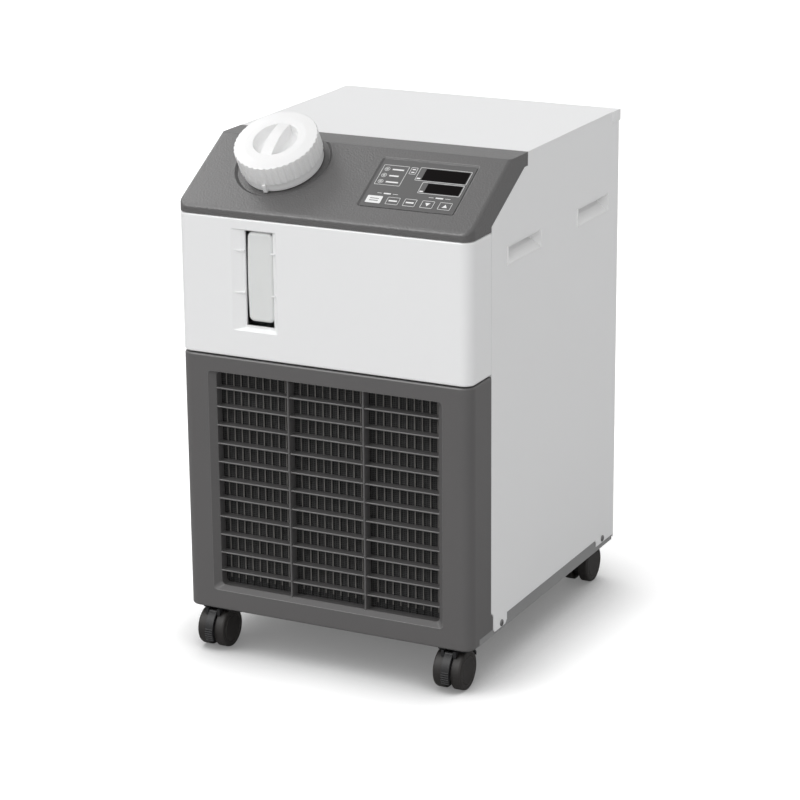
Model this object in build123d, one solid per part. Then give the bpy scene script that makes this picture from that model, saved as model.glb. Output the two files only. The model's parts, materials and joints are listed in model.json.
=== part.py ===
from build123d import *
from math import cos, radians, sin, tan
import os

# Recirculating chiller: an air-cooled cabinet on four casters, in millimetres.
# Everything is modelled in the cabinet's frame: x to the right, y back from the front face,
# z up from the lower edge of the front panels. The last lines move it to stand on z = 0,
# centred on its overall box.

# Cabinet
width = 377.0            # over the side panels
depth = 431.0            # front face to rear face
height = 615.0           # floor to top panel
floor_gap = 54.4         # floor to the lower edge of the front panels
sheet = 1.2              # cover sheet
frame_sheet = 1.6        # base pan and front frame
moulding = 3.0           # wall of the moulded panels
lap = 0.2                # gap between lapped sheets
clear = 0.3              # gap between a moving piece and its seat
flange = 12.0            # folded edges of the covers
top_z = height - floor_gap
half = width / 2

# Front mouldings
corner_r = 14.0          # vertical front corners
wrap = 56.0              # how far the front panels reach round the corner
foot_wrap = 61.5         # the same near the floor
foot_wrap_z = 29.0
foot_step = 5.0          # height of the slanted step between the two
panel_gap = 0.5          # front panels to side panels
edge_r = 2.5             # rounded edges of the mouldings
seam_z = 319.5           # joint between grille panel and upper panel
seam = 1.6
hood_z = 487.5           # lower edge of the control hood
hood_seam = 0.8

# Grille
grille_side = 35.5       # cabinet's side to the recess
grille_half = half - grille_side
grille_low = 24.5
grille_high = 299.2
bevel_side = 7.7
bevel_low = 5.0
bevel_high = 2.0
bevel_deep = 7.0
slat_count = 11
slat_margin_low = 23.1   # from the recess edge to the first slat
slat_margin_high = 22.6
slat_thick = 2.0
slat_deep = 12.0
divider_count = 2
divider_margin = 96.1    # from the opening's side
divider_thick = 2.6
divider_proud = 2.0
grille_corner_r = 5.0

# Dust filter
filter_margin = 5.0      # frame beyond the grille's opening
filter_frame = 4.0
filter_thick = 6.0
rib_pitch = 9.9
rib_wide = 1.7
rib_deep = 2.0
mesh_thick = 1.0
rail_wall = 2.5          # guides that hold the filter
rail_lip = 4.0

# Level window
slot_side = 88.3         # cabinet's side to the slot
slot_wide = 36.7
slot_left = slot_side - half
slot_right = slot_left + slot_wide
window_left = slot_left - 16.3
window_right = slot_right + 6.5
window_low = 353.0
window_high = 474.5
window_deep = 4.0
slot_low = 359.5
slot_high = 472.5
window_slope_right = 1.2
window_slope_low = 2.5
tick_low_z = 398.5
tick_high_z = 448.5
tick_thick = 1.6
tick_left_long = 14.0
tick_right_long = 4.0
tick_front = 0.8
tick_over = 1.5          # the right ticks reach over the slot
tick_over_back = 3.0

# Control hood
slope_angle = 30.6       # slanted face, from horizontal
strip_front = 108.5      # where the slanted face meets the flat strip
strip_back = 155.5
cheek_low_z = 544.5      # lower edge of the cheek at the back
cheek_back_y = 146.5
cheek_front_z = 494.0
lip_back = 3.5
hood_edge_r = 4.0
well_r = 59.0            # shallow well round the filler cap
well_floor_r = 55.5
well_deep = 3.0
cap_side = 102.4         # cabinet's side to the cap's axis
cap_x = cap_side - half
cap_v = -40.1            # along the slope, up from the bend
recess_side = 34.0       # cabinet's side to the recess
recess_wide = 118.5
recess_right = half - recess_side
recess_left = recess_right - recess_wide
recess_high = -17.0      # along the slope, from the bend
recess_low = -96.0
recess_deep = 2.0
recess_draft = 50.0      # its walls lean out
recess_corner_r = 2.0
recess_pad = 4.0
pad_thick = 2.0
display_in = 56.0        # recess's left side to the displays
display_left = recess_left + display_in
display_high = -26.0
display_low = -68.0
boss_r = 3.0
board_gap = 9.0
board_thick = 1.6
board_margin = 3.0
overlay_thick = 0.8
hood_rib_side = 20.5
hood_rib_x = half - hood_rib_side
hood_rib_thick = 3.0
hood_rib_deep = 12.0

# Filler cap and neck
neck_r = 38.0
tank_wall = 3.0
neck_top = 16.0          # along the cap's axis, from the slanted face
cap_r = 50.4
cap_top = 35.5
cap_rim_low = 9.0
cap_base_r = 48.3
cap_base_low = -1.5
cap_crown_r = 37.0       # the top falls away outside this
cap_fall = 1.5
cap_thread_gap = 0.5
cap_lobes = 40
lobe_r = 2.9
lobe_bite = 1.0
cap_edge_r = 3.0
grip_r = 27.0            # the two hollows beside the cap's grip bar
grip_bar = 14.5
grip_deep = 10.0
grip_draft = 12.0
grip_round = 5.0
grip_arch = 4.0          # how far the bar's middle stands over the top
gasket_thick = 2.5
gasket_wide = 7.0
nub_wide = 5.0

# Tank
tank_side_gap = 2.0      # to the hand grips
tank_over = 30.0         # the tank reaches past its neck
tank_right = cap_x + neck_r + tank_over
tank_low = 335.0
tank_high = 478.0
tank_deep = 112.0
tank_corner_r = 12.0
bulge_margin = 0.9       # between the sight bulge and the slot's sides
bulge_low = 364.5
bulge_bow = 1.5          # how much the bulge narrows at its ends
bulge_set_back = 0.8     # from the window's floor
bulge_corner_r = 7.0
bulge_r = 4.0

# Side panels and grips
tab_back = 101.0
tab_low = 3.0
tab_chamfer = 4.5
skirt_z = 16.0           # lower edge of the side panels
rear_tab = 55.5          # length of the tab at the rear
rear_tab_front = depth - rear_tab
rear_tab_low = 6.5
grip_long = 97.0
grip_tall = 22.0
grip_low = 439.5
grip_front_y = 98.0
grip_rear_gap = 33.0     # to the rear face
grip_rear_y = depth - grip_rear_gap - grip_long
grip_rim = 2.0
grip_proud = 1.2
cup_wall = 2.0
cup_deep = 22.0
cup_rise = 6.0
cup_sill = 9.0
side_screw_front = (85.5, 8.0)
screw_from_back = 36.5
side_screw_rear = (depth - screw_from_back, 12.0)

# Base pan and front frame
pan_front = 24.7
pan_drop = 0.8
pan_high = 16.0
pan_front_high = 7.7
frame_margin = 2.5
frame_window = grille_half - 5.0
frame_window_low = 20.0
frame_window_high = 300.0
frame_top_flange = 14.0
neck_notch = 3.0         # round the filler neck

# Top and rear panel
lip_tall = 14.0
lip_tab = 20.0
lip_sheet = 1.4
louvre_rows = 13
louvre_pitch = 16.0
louvre_low = 316.0
louvre_wide = 130.0
louvre_side = 108.5
louvre_x = half - louvre_side
louvre_tall = 6.0
louvre_proud = 5.0

# Condenser and fan
coil_half = grille_half - 13.0
coil_low = 26.0
coil_high = 294.0
coil_front = 62.0
coil_deep = 30.0
coil_rows = 9
coil_bend_out = 2.2      # return bends stand this far off the end plates
coil_gas_row = 5         # rows that the pipes join, from the bottom
coil_liquid_row = 0
bend_r = 4.0
shroud_half = coil_half + 7.0
shroud_deep = 26.0
shroud_sheet = 1.5
fan_r = 108.0
fan_gap = 4.0
ring_deep = 22.0
blade_count = 5
blade_pitch = 28.0
blade_thick = 2.0
hub_r = 32.0
rotor_deep = 18.0
fan_motor_r = 40.0
fan_motor_deep = 46.0
fan_shaft_r = 4.0
strut_wide = 14.0
strut_count = 4

# Compressor
compressor_side = 96.5   # from its axis to the cabinet's side and back
compressor_back = 126.0
compressor_x = half - compressor_side
compressor_y = depth - compressor_back
compressor_r = 60.0
compressor_high = 216.0
can_low_r = 16.0
can_high_r = 32.0
cover_half = 22.0        # terminal cover in front
cover_out = 12.0
cover_low = 120.0
cover_high = 170.0
mount_tall = 12.0
mount_r = 9.0
mount_reach = 62.0
foot_thick = 3.0

# Plate evaporator
evaporator_side = 50.5
evaporator_x = evaporator_side - half
evaporator_y = 228.0
evaporator_wide = 50.0
evaporator_deep = 76.0
evaporator_tall = 206.0
plate_count = 12
plate_thick = 1.0
plate_proud = 1.5
stub_r = 9.0
stub_long = 14.0
stub_inset = 16.0

# Pump
pump_x = -60.0
pump_back = 95.0
pump_y = depth - pump_back
pump_motor_r = 34.0
pump_motor_long = 92.0
volute_r = 40.0
volute_long = 30.0
pump_foot = 8.0

# Pipes and ports
water_pipe_r = 8.0
water_wall = 1.5
gas_pipe_r = 5.0
liquid_pipe_r = 3.2
gas_wall = 0.8
gas_port_z = 170.0       # discharge stub of the compressor
suction_z = 128.0
port_side = 48.5
port_x = port_side - half
outlet_z = 120.0
return_z = 190.0
drain_z = 50.0
port_reach = 24.0
port_hex = 32.0
port_hex_long = 14.0
port_thread_r = 9.3
port_thread_long = 16.0
drain_hex = 22.0
drain_thread_r = 5.7
drain_thread_long = 12.0
port_nut = 6.0

# Electrics
box_tank_gap = 32.0
box_left = tank_right + box_tank_gap
box_side_gap = 3.0       # to the hand grips
box_low = 338.0
box_high = 478.0
box_deep = 210.0
box_sheet = 1.2
breaker_side = 70.5
breaker_x = half - breaker_side
breaker_z = 262.0
breaker_wide = 52.0
breaker_tall = 80.0
breaker_deep = 60.0
lever_wide = 14.0
lever_long = 9.0
lever_tall = 10.0
lever_pin_r = 2.0
gland_side = 48.5
gland_x = half - gland_side
gland_z = 60.0
gland_r = 12.0
gland_hole_r = 6.5
gland_long = 16.0
signal_side = 78.5
signal_x = half - signal_side
signal_z = 140.0
signal_wide = 40.0
signal_tall = 16.0

# Casters
caster_front_side = 30.5 # stems from the cabinet's sides, front face and rear face
caster_rear_side = 35.5
caster_front_y = 38.5
caster_back = 37.5
caster_front_x = half - caster_front_side
caster_rear_x = half - caster_rear_side
caster_rear_y = depth - caster_back
wheel_r = 24.0
wheel_wide = 12.5
wheel_gap = 11.0         # between the two wheels
wheel_edge = 2.5         # rounded outer edge of the tread
tread_edge = 0.6
rim_wall = 3.5
disc_wall = 3.0
groove_r = 16.5          # ring groove in the wheel's outer face
groove_wide = 1.5
groove_deep = 0.8
wheel_cap = 1.0          # wall over the axle's end
wheel_hub_r = 6.0
trail = 18.0             # stem to axle
stem_r = 4.0
stem_collar_r = 9.0
collar_thick = 2.2
stem_high = 13.0
stem_deep = 20.0
socket_half = 6.5
boss_tall = 6.0
web_side = 0.4           # from the web to a wheel
web_r = 17.0
axle_r = 2.5
axle_end = 1.2           # the axle stops this far inside the wheel's face
run_gap = 0.06           # running fit of pins and stems
fender_gap = 0.8
fender_front = 7.0
fender_back = 22.0
fender_low = 8.0
pedal_gap = 0.5
pedal_wall = 3.2
pedal_pivot_r = 26.0
pedal_pivot_angle = 58.0
pedal_low_angle = -26.0
pedal_ribs = 6
pedal_rib = 0.9
pedal_rib_step = 6.0
pedal_pin_r = 1.3
pedal_knuckle_r = 2.9
ear_wide = 4.0
ear_long = 3.0
nut_thick = 6.5
nut_across = 13.0
nut_gap = 0.02

# Screws
screw_r = 3.6
screw_head = 1.6
screw_shank_r = 1.9
screw_long = 6.0
hole_gap = 0.3

strip = top_z
panel_front = wrap + panel_gap
tab_front = foot_wrap + 2 * panel_gap
cup_back = half - sheet - cup_deep - cup_wall
tank_left = tank_side_gap - cup_back
box_right = cup_back - box_side_gap
fan_z = (coil_low + coil_high) / 2
pan_floor = frame_sheet - pan_drop
pan_half = half - sheet - lap
frame_back = panel_front + sheet + frame_sheet
skin_back = depth - sheet
stem_hole_r = stem_r + hole_gap


def block(x0, x1, y0, y1, z0, z1):
    """Box between two corners."""
    centre = Pos((x0 + x1) / 2, (y0 + y1) / 2, (z0 + z1) / 2)
    return centre * Box(x1 - x0, y1 - y0, z1 - z0)


def rod(radius, start, end):
    """Round bar between two points."""
    start, end = Vector(*start), Vector(*end)
    along = Plane(origin=start, z_dir=end - start)
    return along * Cylinder(radius, (end - start).length, align=(Align.CENTER, Align.CENTER, Align.MIN))


def hexagon(across, start, end):
    """Hexagonal bar between two points."""
    start, end = Vector(*start), Vector(*end)
    along = Plane(origin=start, z_dir=end - start)
    return along * extrude(RegularPolygon(across / 2, 6, major_radius=False), amount=(end - start).length)


def cut_face(plane, points):
    """Face with straight edges through the points, on the plane."""
    return plane * make_face(Polyline(*points, close=True))


def pipe(radius, wall, bend, *points):
    """Bent tube through the points."""
    path = FilletPolyline(*points, radius=bend)
    ring = Circle(radius) - Circle(radius - wall)
    return sweep(Plane(origin=path @ 0, z_dir=path % 0) * ring, path=path)


def left_and_right(shape):
    """The shape for the right side and its mirror image for the left."""
    return mirror(shape, about=Plane.YZ), shape


def slope_plane():
    """Plane on the slanted face: x across, y up the slope, z out of the face."""
    tilt = radians(slope_angle)
    return Plane(origin=(0, strip_front, strip), x_dir=(1, 0, 0), z_dir=(0, -sin(tilt), cos(tilt)))


def cap_plane():
    """The same plane with its origin on the filler cap's axis."""
    return slope_plane() * Pos(cap_x, cap_v, 0)


def disc(radius, low, high):
    """Round disc between two heights of its own axis."""
    return Pos(0, 0, low) * Cylinder(radius, high - low, align=(Align.CENTER, Align.CENTER, Align.MIN))


def front_plan(inset, back):
    """Plan of the front mouldings: a rectangle with two rounded front corners."""
    plan = Pos(0, (inset + back) / 2) * Rectangle(2 * (half - inset), back - inset)
    return fillet(plan.vertices().sort_by(Axis.Y)[:2], corner_r - inset)


def base_pan():
    outer = block(-pan_half, pan_half, pan_front, skin_back - lap, -pan_drop, pan_high)
    inner = block(-pan_half + frame_sheet, pan_half - frame_sheet, pan_front + frame_sheet,
                  skin_back - lap - frame_sheet, pan_floor, pan_high + 1)
    front_cut = block(-half, half, pan_front - 1, foot_wrap + lap, pan_front_high, pan_high + 1)
    pan = outer - inner - front_cut
    for x, y in caster_places():
        pan -= rod(stem_hole_r, (x, y, -pan_drop - 1), (x, y, pan_floor + 1))
    for y, z in (side_screw_front, side_screw_rear):
        pan -= rod(screw_shank_r + hole_gap, (-half, y, z), (half, y, z))
    return pan


def caster_places():
    """Stem axes: front left, front right, rear left, rear right."""
    ends = ((caster_front_x, caster_front_y), (caster_rear_x, caster_rear_y))
    return [(side * x, y) for x, y in ends for side in (-1, 1)]


def side_panel():
    outline = [
        (panel_front, foot_wrap_z + 2 * panel_gap), (tab_front, foot_wrap_z + 2 * panel_gap - foot_step),
        (tab_front, tab_low + tab_chamfer),
        (tab_front + tab_chamfer, tab_low), (tab_back - tab_chamfer, tab_low),
        (tab_back, tab_low + tab_chamfer), (tab_back, skirt_z), (rear_tab_front - tab_chamfer, skirt_z),
        (rear_tab_front, skirt_z - tab_chamfer), (rear_tab_front, rear_tab_low), (skin_back, rear_tab_low),
        (skin_back, top_z - sheet), (strip_back + 0.5, top_z - sheet),
        (strip_back + 0.5, cheek_low_z - lap), (cheek_back_y, cheek_low_z - lap),
        (panel_front, cheek_front_z - lap),
    ]
    inside = half - sheet
    panel = extrude(cut_face(Plane.YZ.offset(inside), outline), amount=sheet)
    panel += block(inside - flange, half, panel_front, panel_front + sheet,
                   foot_wrap_z + 2 * panel_gap, cheek_front_z - lap)
    panel += block(inside - flange, half, strip_back + flange, skin_back - sheet - lap,
                   top_z - 2 * sheet, top_z - sheet)
    panel += block(inside - flange, half, skin_back - sheet, skin_back,
                   pan_high + 2, top_z - sheet - flange)
    for y in (grip_front_y, grip_rear_y):
        panel -= block(0, half + 1, y - lap, y + grip_long + lap, grip_low - lap, grip_low + grip_tall + lap)
    for y, z in (side_screw_front, side_screw_rear):
        panel -= rod(screw_shank_r + hole_gap, (inside - 1, y, z), (half + 1, y, z))
    return panel


def grip_cup(front_y):
    """Moulded hand grip for the right side: it sits behind the panel, its ends stand in the cut-out."""
    inside = half - sheet
    back = inside - cup_deep
    high = grip_low + grip_tall
    back_y = front_y + grip_long
    cup = block(back - cup_wall, inside, front_y - cup_wall, back_y + cup_wall,
                grip_low - cup_wall, high + cup_rise + cup_wall)
    cup += block(inside, half, front_y, back_y, grip_low, high)
    for end in (front_y, back_y - grip_rim):
        cup += block(half, half + grip_proud, end, end + grip_rim, grip_low, high)
    hollow = [
        (half + grip_proud + 1, grip_low + 1), (half, grip_low + 1),
        (half - cup_deep / 2, grip_low + cup_sill),
        (back, grip_low + cup_sill + 6), (back, high + cup_rise), (half - 6, high + cup_rise),
        (half - 3, high - 1), (half + grip_proud + 1, high - 1),
    ]
    section = cut_face(Plane.XZ.offset(-front_y - grip_rim), hollow)
    return cup - extrude(section, amount=-(grip_long - 2 * grip_rim))


def side_grips():
    right = grip_cup(grip_front_y) + grip_cup(grip_rear_y)
    return left_and_right(right)


def top_panel():
    front = strip_back + 0.5
    tab_half = half + lip_sheet
    sheet_top = block(-half, half, front, depth, top_z - sheet, top_z)
    front_lip = block(-half + flange, half - flange, front, front + sheet, top_z - flange, top_z)
    rear = block(-tab_half, tab_half, depth - lip_tab, depth + lip_sheet, top_z - lip_tall, top_z)
    rear -= block(-half, half, 0, depth, 0, top_z - sheet)
    return sheet_top + front_lip + rear


def louvre(x, z):
    """Slot and the bent hood above it."""
    slot = block(x - louvre_wide / 2, x + louvre_wide / 2, skin_back - 1, depth + 1, z, z + louvre_tall)
    profile = [(depth - sheet, z + louvre_tall + 3), (depth, z + louvre_tall + 3),
               (depth + louvre_proud, z + 1), (depth + louvre_proud - sheet, z + 1),
               (depth - sheet, z + louvre_tall + 1)]
    hood = extrude(cut_face(Plane.YZ.offset(x - louvre_wide / 2), profile), amount=louvre_wide)
    return slot, hood


def rear_panel():
    panel = block(-half, half, skin_back, depth, tab_low, top_z - sheet)
    for column in (-louvre_x, louvre_x):
        for row in range(louvre_rows):
            slot, hood = louvre(column, louvre_low + row * louvre_pitch)
            panel = panel - slot + hood
    for z in (outlet_z, return_z):
        panel -= rod(port_thread_r + 4 + lap, (port_x, skin_back - 1, z), (port_x, depth + 1, z))
    panel -= rod(drain_thread_r + 3 + lap, (port_x, skin_back - 1, drain_z), (port_x, depth + 1, drain_z))
    panel -= block(breaker_x - breaker_wide / 2 - lap, breaker_x + breaker_wide / 2 + lap, skin_back - 1,
                   depth + 1, breaker_z - breaker_tall / 2 - lap, breaker_z + breaker_tall / 2 + lap)
    panel -= rod(gland_r - 2 + lap, (gland_x, skin_back - 1, gland_z), (gland_x, depth + 1, gland_z))
    panel -= block(signal_x - signal_wide / 2 - lap, signal_x + signal_wide / 2 + lap, skin_back - 1,
                   depth + 1, signal_z - signal_tall / 2 - lap, signal_z + signal_tall / 2 + lap)
    return panel


def front_frame():
    """Steel bulkhead behind the mouldings, with the air window and the hole for the sight bulge."""
    side = pan_half - frame_sheet - lap
    front = panel_front + sheet
    frame = block(-side, side, front, frame_back, pan_floor, hood_z - frame_margin)
    frame += block(-side, side, front, frame_back + frame_top_flange,
                   hood_z - frame_margin - frame_sheet, hood_z - frame_margin)
    frame -= block(-frame_window, frame_window, front - 1, frame_back + 1,
                   frame_window_low, frame_window_high)
    frame -= block(slot_left - 2, slot_right + 2, front - 1, frame_back + 1, slot_low - 2, slot_high + 2)
    return frame - cap_plane() * disc(neck_r + neck_notch, -height, 0)


def moulded_shell(low, high, back):
    """Shell that wraps both front corners, with a wall at its lower and upper end."""
    body = Pos(0, 0, low) * extrude(front_plan(0, back), amount=high - low)
    rear_edge = back - 1
    ends = body.faces().filter_by(Axis.Z)
    rounded = [edge for face in ends for edge in face.edges() if edge.center().Y < rear_edge]
    body = fillet(rounded, edge_r)
    hollow = extrude(front_plan(moulding, back + 1), amount=high - low - 2 * moulding)
    return body - Pos(0, 0, low + moulding) * hollow


def bevelled_opening(left, right, low, high, inner, deep, radius):
    """Tapered recess from the front face to a smaller opening at the given depth."""
    inner_left, inner_right, inner_low, inner_high = inner
    outer_face = Plane.XZ * Pos((left + right) / 2, (low + high) / 2) * RectangleRounded(
        right - left, high - low, radius)
    middle = Pos((inner_left + inner_right) / 2, (inner_low + inner_high) / 2)
    inner_face = Plane.XZ.offset(-deep) * middle * RectangleRounded(
        inner_right - inner_left, inner_high - inner_low, radius)
    return loft([outer_face, inner_face])


def grille_slats(inner_half, inner_low, inner_high, back):
    """Slats with rounded noses, and the upright dividers that stand a little in front of them."""
    first = grille_low + slat_margin_low
    pitch = (grille_high - slat_margin_high - first) / (slat_count - 1)
    nose = slat_thick / 2
    length = slat_deep - nose
    profile = Sketch()
    for row in range(slat_count):
        z = first + pitch * row
        profile += Pos(back - length / 2, z) * Rectangle(length, slat_thick)
        profile += Pos(back - length, z) * Circle(nose)
    grid = extrude(Plane.YZ.offset(-inner_half - 1) * profile, amount=2 * inner_half + 2)
    spacing = 2 * (inner_half - divider_margin) / (divider_count - 1)
    length = slat_deep + divider_proud - divider_thick / 2
    for column in range(divider_count):
        x = -inner_half + divider_margin + spacing * column
        bar = Pos(x, back - length / 2) * Rectangle(divider_thick, length)
        bar += Pos(x, back - length) * Circle(divider_thick / 2)
        grid += Pos(0, 0, inner_low - 1) * extrude(bar, amount=inner_high - inner_low + 2)
    return grid


def grille_panel():
    """Grille panel in one moulding: wrapped shell, bevelled recess, slats, dividers and filter guides."""
    high = seam_z - seam / 2
    shell = moulded_shell(0, high, foot_wrap)
    step = [(wrap, high + 1), (wrap, foot_wrap_z), (foot_wrap, foot_wrap_z - foot_step),
            (foot_wrap + 1, foot_wrap_z - foot_step), (foot_wrap + 1, high + 1)]
    shell -= extrude(cut_face(Plane.YZ, step), amount=half + 1, both=True)
    shell -= block(-half - 1, half + 1, pan_front - clear, foot_wrap + 1, -1, pan_front_high + clear)
    inner_half = grille_half - bevel_side
    inner_low, inner_high = grille_low + bevel_low, grille_high - bevel_high
    back = bevel_deep + slat_deep
    shell += block(-grille_half - moulding, grille_half + moulding, 1, bevel_deep + moulding,
                   grille_low - moulding, grille_high + moulding)
    shell += block(-inner_half - moulding, inner_half + moulding, 1, back,
                   inner_low - moulding, inner_high + moulding)
    shell += filter_guides(inner_half, back)
    shell -= bevelled_opening(-grille_half, grille_half, grille_low, grille_high,
                              (-inner_half, inner_half, inner_low, inner_high), bevel_deep, grille_corner_r)
    shell -= Plane.XZ * Pos(0, (inner_low + inner_high) / 2) * extrude(
        RectangleRounded(2 * inner_half, inner_high - inner_low, grille_corner_r), amount=-(back + 1))
    return shell + grille_slats(inner_half, inner_low, inner_high, back)


def filter_size():
    """Half width, lower and upper edge of the dust filter."""
    return (grille_half - bevel_side + filter_margin, grille_low + bevel_low - filter_margin,
            grille_high - bevel_high + filter_margin)


def filter_guides(inner_half, back):
    """Channels on the grille's back, at both sides and below, that the filter drops into."""
    filter_half, low, high = filter_size()
    inner = filter_half + clear
    deep = filter_thick + clear
    channel = block(inner, inner + rail_wall, bevel_deep, back + deep + rail_wall, low, high)
    channel += block(inner - rail_lip, inner + rail_wall, back + deep, back + deep + rail_wall, low, high)
    channel += block(inner_half, inner + rail_wall, bevel_deep, back, low, high)
    shelf = block(-inner - rail_wall, inner + rail_wall, bevel_deep, back + deep + rail_wall,
                  low - clear - rail_wall, low - clear)
    return channel + mirror(channel, about=Plane.YZ) + shelf


def dust_filter():
    """Frame with upright ribs in front of a fine mesh sheet."""
    filter_half, low, high = filter_size()
    front = bevel_deep + slat_deep
    back = front + filter_thick
    frame = block(-filter_half, filter_half, front, back, low, high)
    frame -= block(-filter_half + filter_frame, filter_half - filter_frame, front - 1, back + 1,
                   low + filter_frame, high - filter_frame)
    frame += block(-filter_half + 1, filter_half - 1, front + rib_deep, front + rib_deep + mesh_thick,
                   low + 1, high - 1)
    count = int((2 * filter_half - 2 * filter_frame) / rib_pitch)
    first = -rib_pitch * (count - 1) / 2
    for rib in range(count):
        x = first + rib * rib_pitch
        frame += block(x - rib_wide / 2, x + rib_wide / 2, front, front + rib_deep + mesh_thick / 2,
                       low + 1, high - 1)
    return frame


def upper_front_panel():
    low, high = seam_z + seam / 2, hood_z - hood_seam / 2
    shell = moulded_shell(low, high, wrap)
    shell += block(window_left - moulding, window_right + moulding, 1, window_deep + moulding,
                   window_low - moulding, window_high + moulding)
    shell -= bevelled_opening(
        window_left, window_right, window_low, window_high,
        (slot_left - 1, slot_right + window_slope_right, slot_low - window_slope_low, slot_high + 0.5),
        window_deep, 2.0)
    shell -= block(slot_left, slot_right, -1, window_deep + moulding + 1, slot_low, slot_high)
    for z in (tick_low_z, tick_high_z):
        z0, z1 = z - tick_thick / 2, z + tick_thick / 2
        shell += block(slot_left - tick_left_long, slot_left, tick_front, window_deep + 1, z0, z1)
        shell += block(slot_right - tick_over, slot_right + tick_right_long, tick_front, tick_over_back,
                       z0, z1)
    return shell


def hood_body(inset):
    """Wedge of the control hood, or its hollow when inset by the wall."""
    tilt = radians(slope_angle)
    bend = strip_front - inset * tan(tilt / 2)
    lip = strip - (strip_front - inset - lip_back) * tan(tilt) - inset / cos(tilt)
    if inset:
        profile = [(inset, hood_z - 20), (strip_back + 10, hood_z - 20), (strip_back + 10, strip - inset),
                   (bend, strip - inset), (inset + lip_back, lip), (inset, lip - 1)]
    else:
        low = hood_z + hood_seam / 2
        profile = [(0, low), (wrap, low), (wrap, cheek_front_z),
                   (cheek_back_y, cheek_low_z), (strip_back, cheek_low_z), (strip_back, strip),
                   (strip_front, strip), (lip_back, lip), (0, lip - 3)]
    side = extrude(cut_face(Plane.YZ.offset(-half + inset), profile), amount=2 * (half - inset))
    plan = Pos(0, 0, hood_z - 30) * extrude(front_plan(inset, strip_back + 20), amount=strip - hood_z + 60)
    return side & plan


def control_hood():
    outer = hood_body(0)
    edges = [edge for edge in outer.edges() if is_hood_ridge(edge)]
    outer = fillet(edges, hood_edge_r)
    hood = outer - hood_body(moulding)
    rim = moulding
    cup = loft([Plane.XY * Circle(well_r + rim),
                Plane.XY.offset(-well_deep - rim) * Circle(well_floor_r + rim)])
    well = loft([Plane.XY.offset(-well_deep) * Circle(well_floor_r), Plane.XY * Circle(well_r)])
    well += disc(well_r, 0, 40)
    hood += (cap_plane() * cup) & outer
    pad = block(recess_left - recess_pad, recess_right + recess_pad, recess_low - recess_pad,
                recess_high + recess_pad, -moulding - pad_thick, -moulding + 1)
    hood += slope_plane() * pad
    for x in (recess_left + 2 * boss_r, recess_right - 2 * boss_r):
        for v in (recess_low + 2 * boss_r, recess_high - 2 * boss_r):
            boss = Pos(x, v) * disc(boss_r, -moulding - pad_thick - board_gap, -moulding)
            hood += slope_plane() * boss
    for side in (-1, 1):
        x0 = side * hood_rib_x - hood_rib_thick / 2
        rib = block(x0, x0 + hood_rib_thick, frame_back, frame_back + hood_rib_deep,
                    hood_z - frame_margin, strip)
        hood += rib & outer_below(outer)
    hood -= cap_plane() * well
    hood -= cap_plane() * disc(neck_r + 1, -well_deep - rim - 5, 0)
    hood -= slope_plane() * panel_recess()
    return hood - slope_plane() * block(display_left, recess_right - 3, display_low, display_high, -20, 0)


def panel_recess():
    """Recess of the control panel with walls that lean out, so the upper one shows from the front."""
    middle = Pos((recess_left + recess_right) / 2, (recess_low + recess_high) / 2, -recess_deep)
    floor = middle * RectangleRounded(recess_wide, recess_high - recess_low, recess_corner_r)
    return extrude(floor, amount=recess_deep + 1, taper=-recess_draft)


def outer_below(outer):
    """The hood's outer form carried down to the front frame, to trim what stands inside it."""
    skirt = block(-half + moulding, half - moulding, moulding, cheek_back_y,
                  hood_z - frame_margin, hood_z + 10)
    return outer + skirt


def is_hood_ridge(edge):
    """True for the edges that run along the slanted face, the strip and the upper lip."""
    middle = edge.center()
    return middle.Z > cheek_front_z - 1 and middle.Y < strip_back - 1 and not below_slope(middle)


def below_slope(point):
    """True where a point lies clearly under the slanted face."""
    return point.Z < strip - (strip_front - point.Y) * tan(radians(slope_angle)) - 3


def tank():
    """Tank with the sight bulge that stands behind the slot and the slanted filler neck."""
    front = frame_back
    body = block(tank_left, tank_right, front, front + tank_deep, tank_low, tank_high)
    body = fillet(body.edges().filter_by(Axis.Z), tank_corner_r)
    hollow = block(tank_left + tank_wall, tank_right - tank_wall, front + tank_wall,
                   front + tank_deep - tank_wall, tank_low + tank_wall, tank_high - tank_wall)
    hollow = fillet(hollow.edges().filter_by(Axis.Z), tank_corner_r - tank_wall)
    neck_low = -(strip - tank_high + tank_wall) / cos(radians(slope_angle))
    neck = cap_plane() * disc(neck_r, neck_low, neck_top)
    bore = cap_plane() * disc(neck_r - tank_wall, neck_low - 10, neck_top + 1)
    above = block(-half, half, 0, depth, tank_high - tank_wall / 2, top_z + 100)
    body += neck & above
    body += sight_bulge(0)
    return body - hollow - (bore & block(-half, half, 0, depth, tank_high - tank_wall - 1, top_z + 100)) \
        - sight_bulge(tank_wall)


def sight_bulge(inset):
    """Rounded finger of the tank that reaches through the front frame to the slot."""
    left, right = slot_left + bulge_margin + inset, slot_right - bulge_margin - inset
    low, high = bulge_low + inset, slot_high - bulge_margin - inset
    front = window_deep + bulge_set_back + inset
    outline = Polyline((left + bulge_bow, low), (right, low), (right, high), (left + bulge_bow, high))
    bow = ThreePointArc((left + bulge_bow, high), (left, (low + high) / 2), (left + bulge_bow, low))
    face = make_face([*outline.edges(), bow])
    face = fillet(face.vertices(), bulge_corner_r - inset)
    reach = frame_back + tank_wall - front + (1 if inset else 0)
    bulge = extrude(Plane.XZ.offset(-front) * face, amount=-reach)
    front_edges = bulge.faces().sort_by(Axis.Y)[0].edges()
    radius = max(bulge_r - inset, 1)
    return fillet(front_edges, radius)


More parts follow.
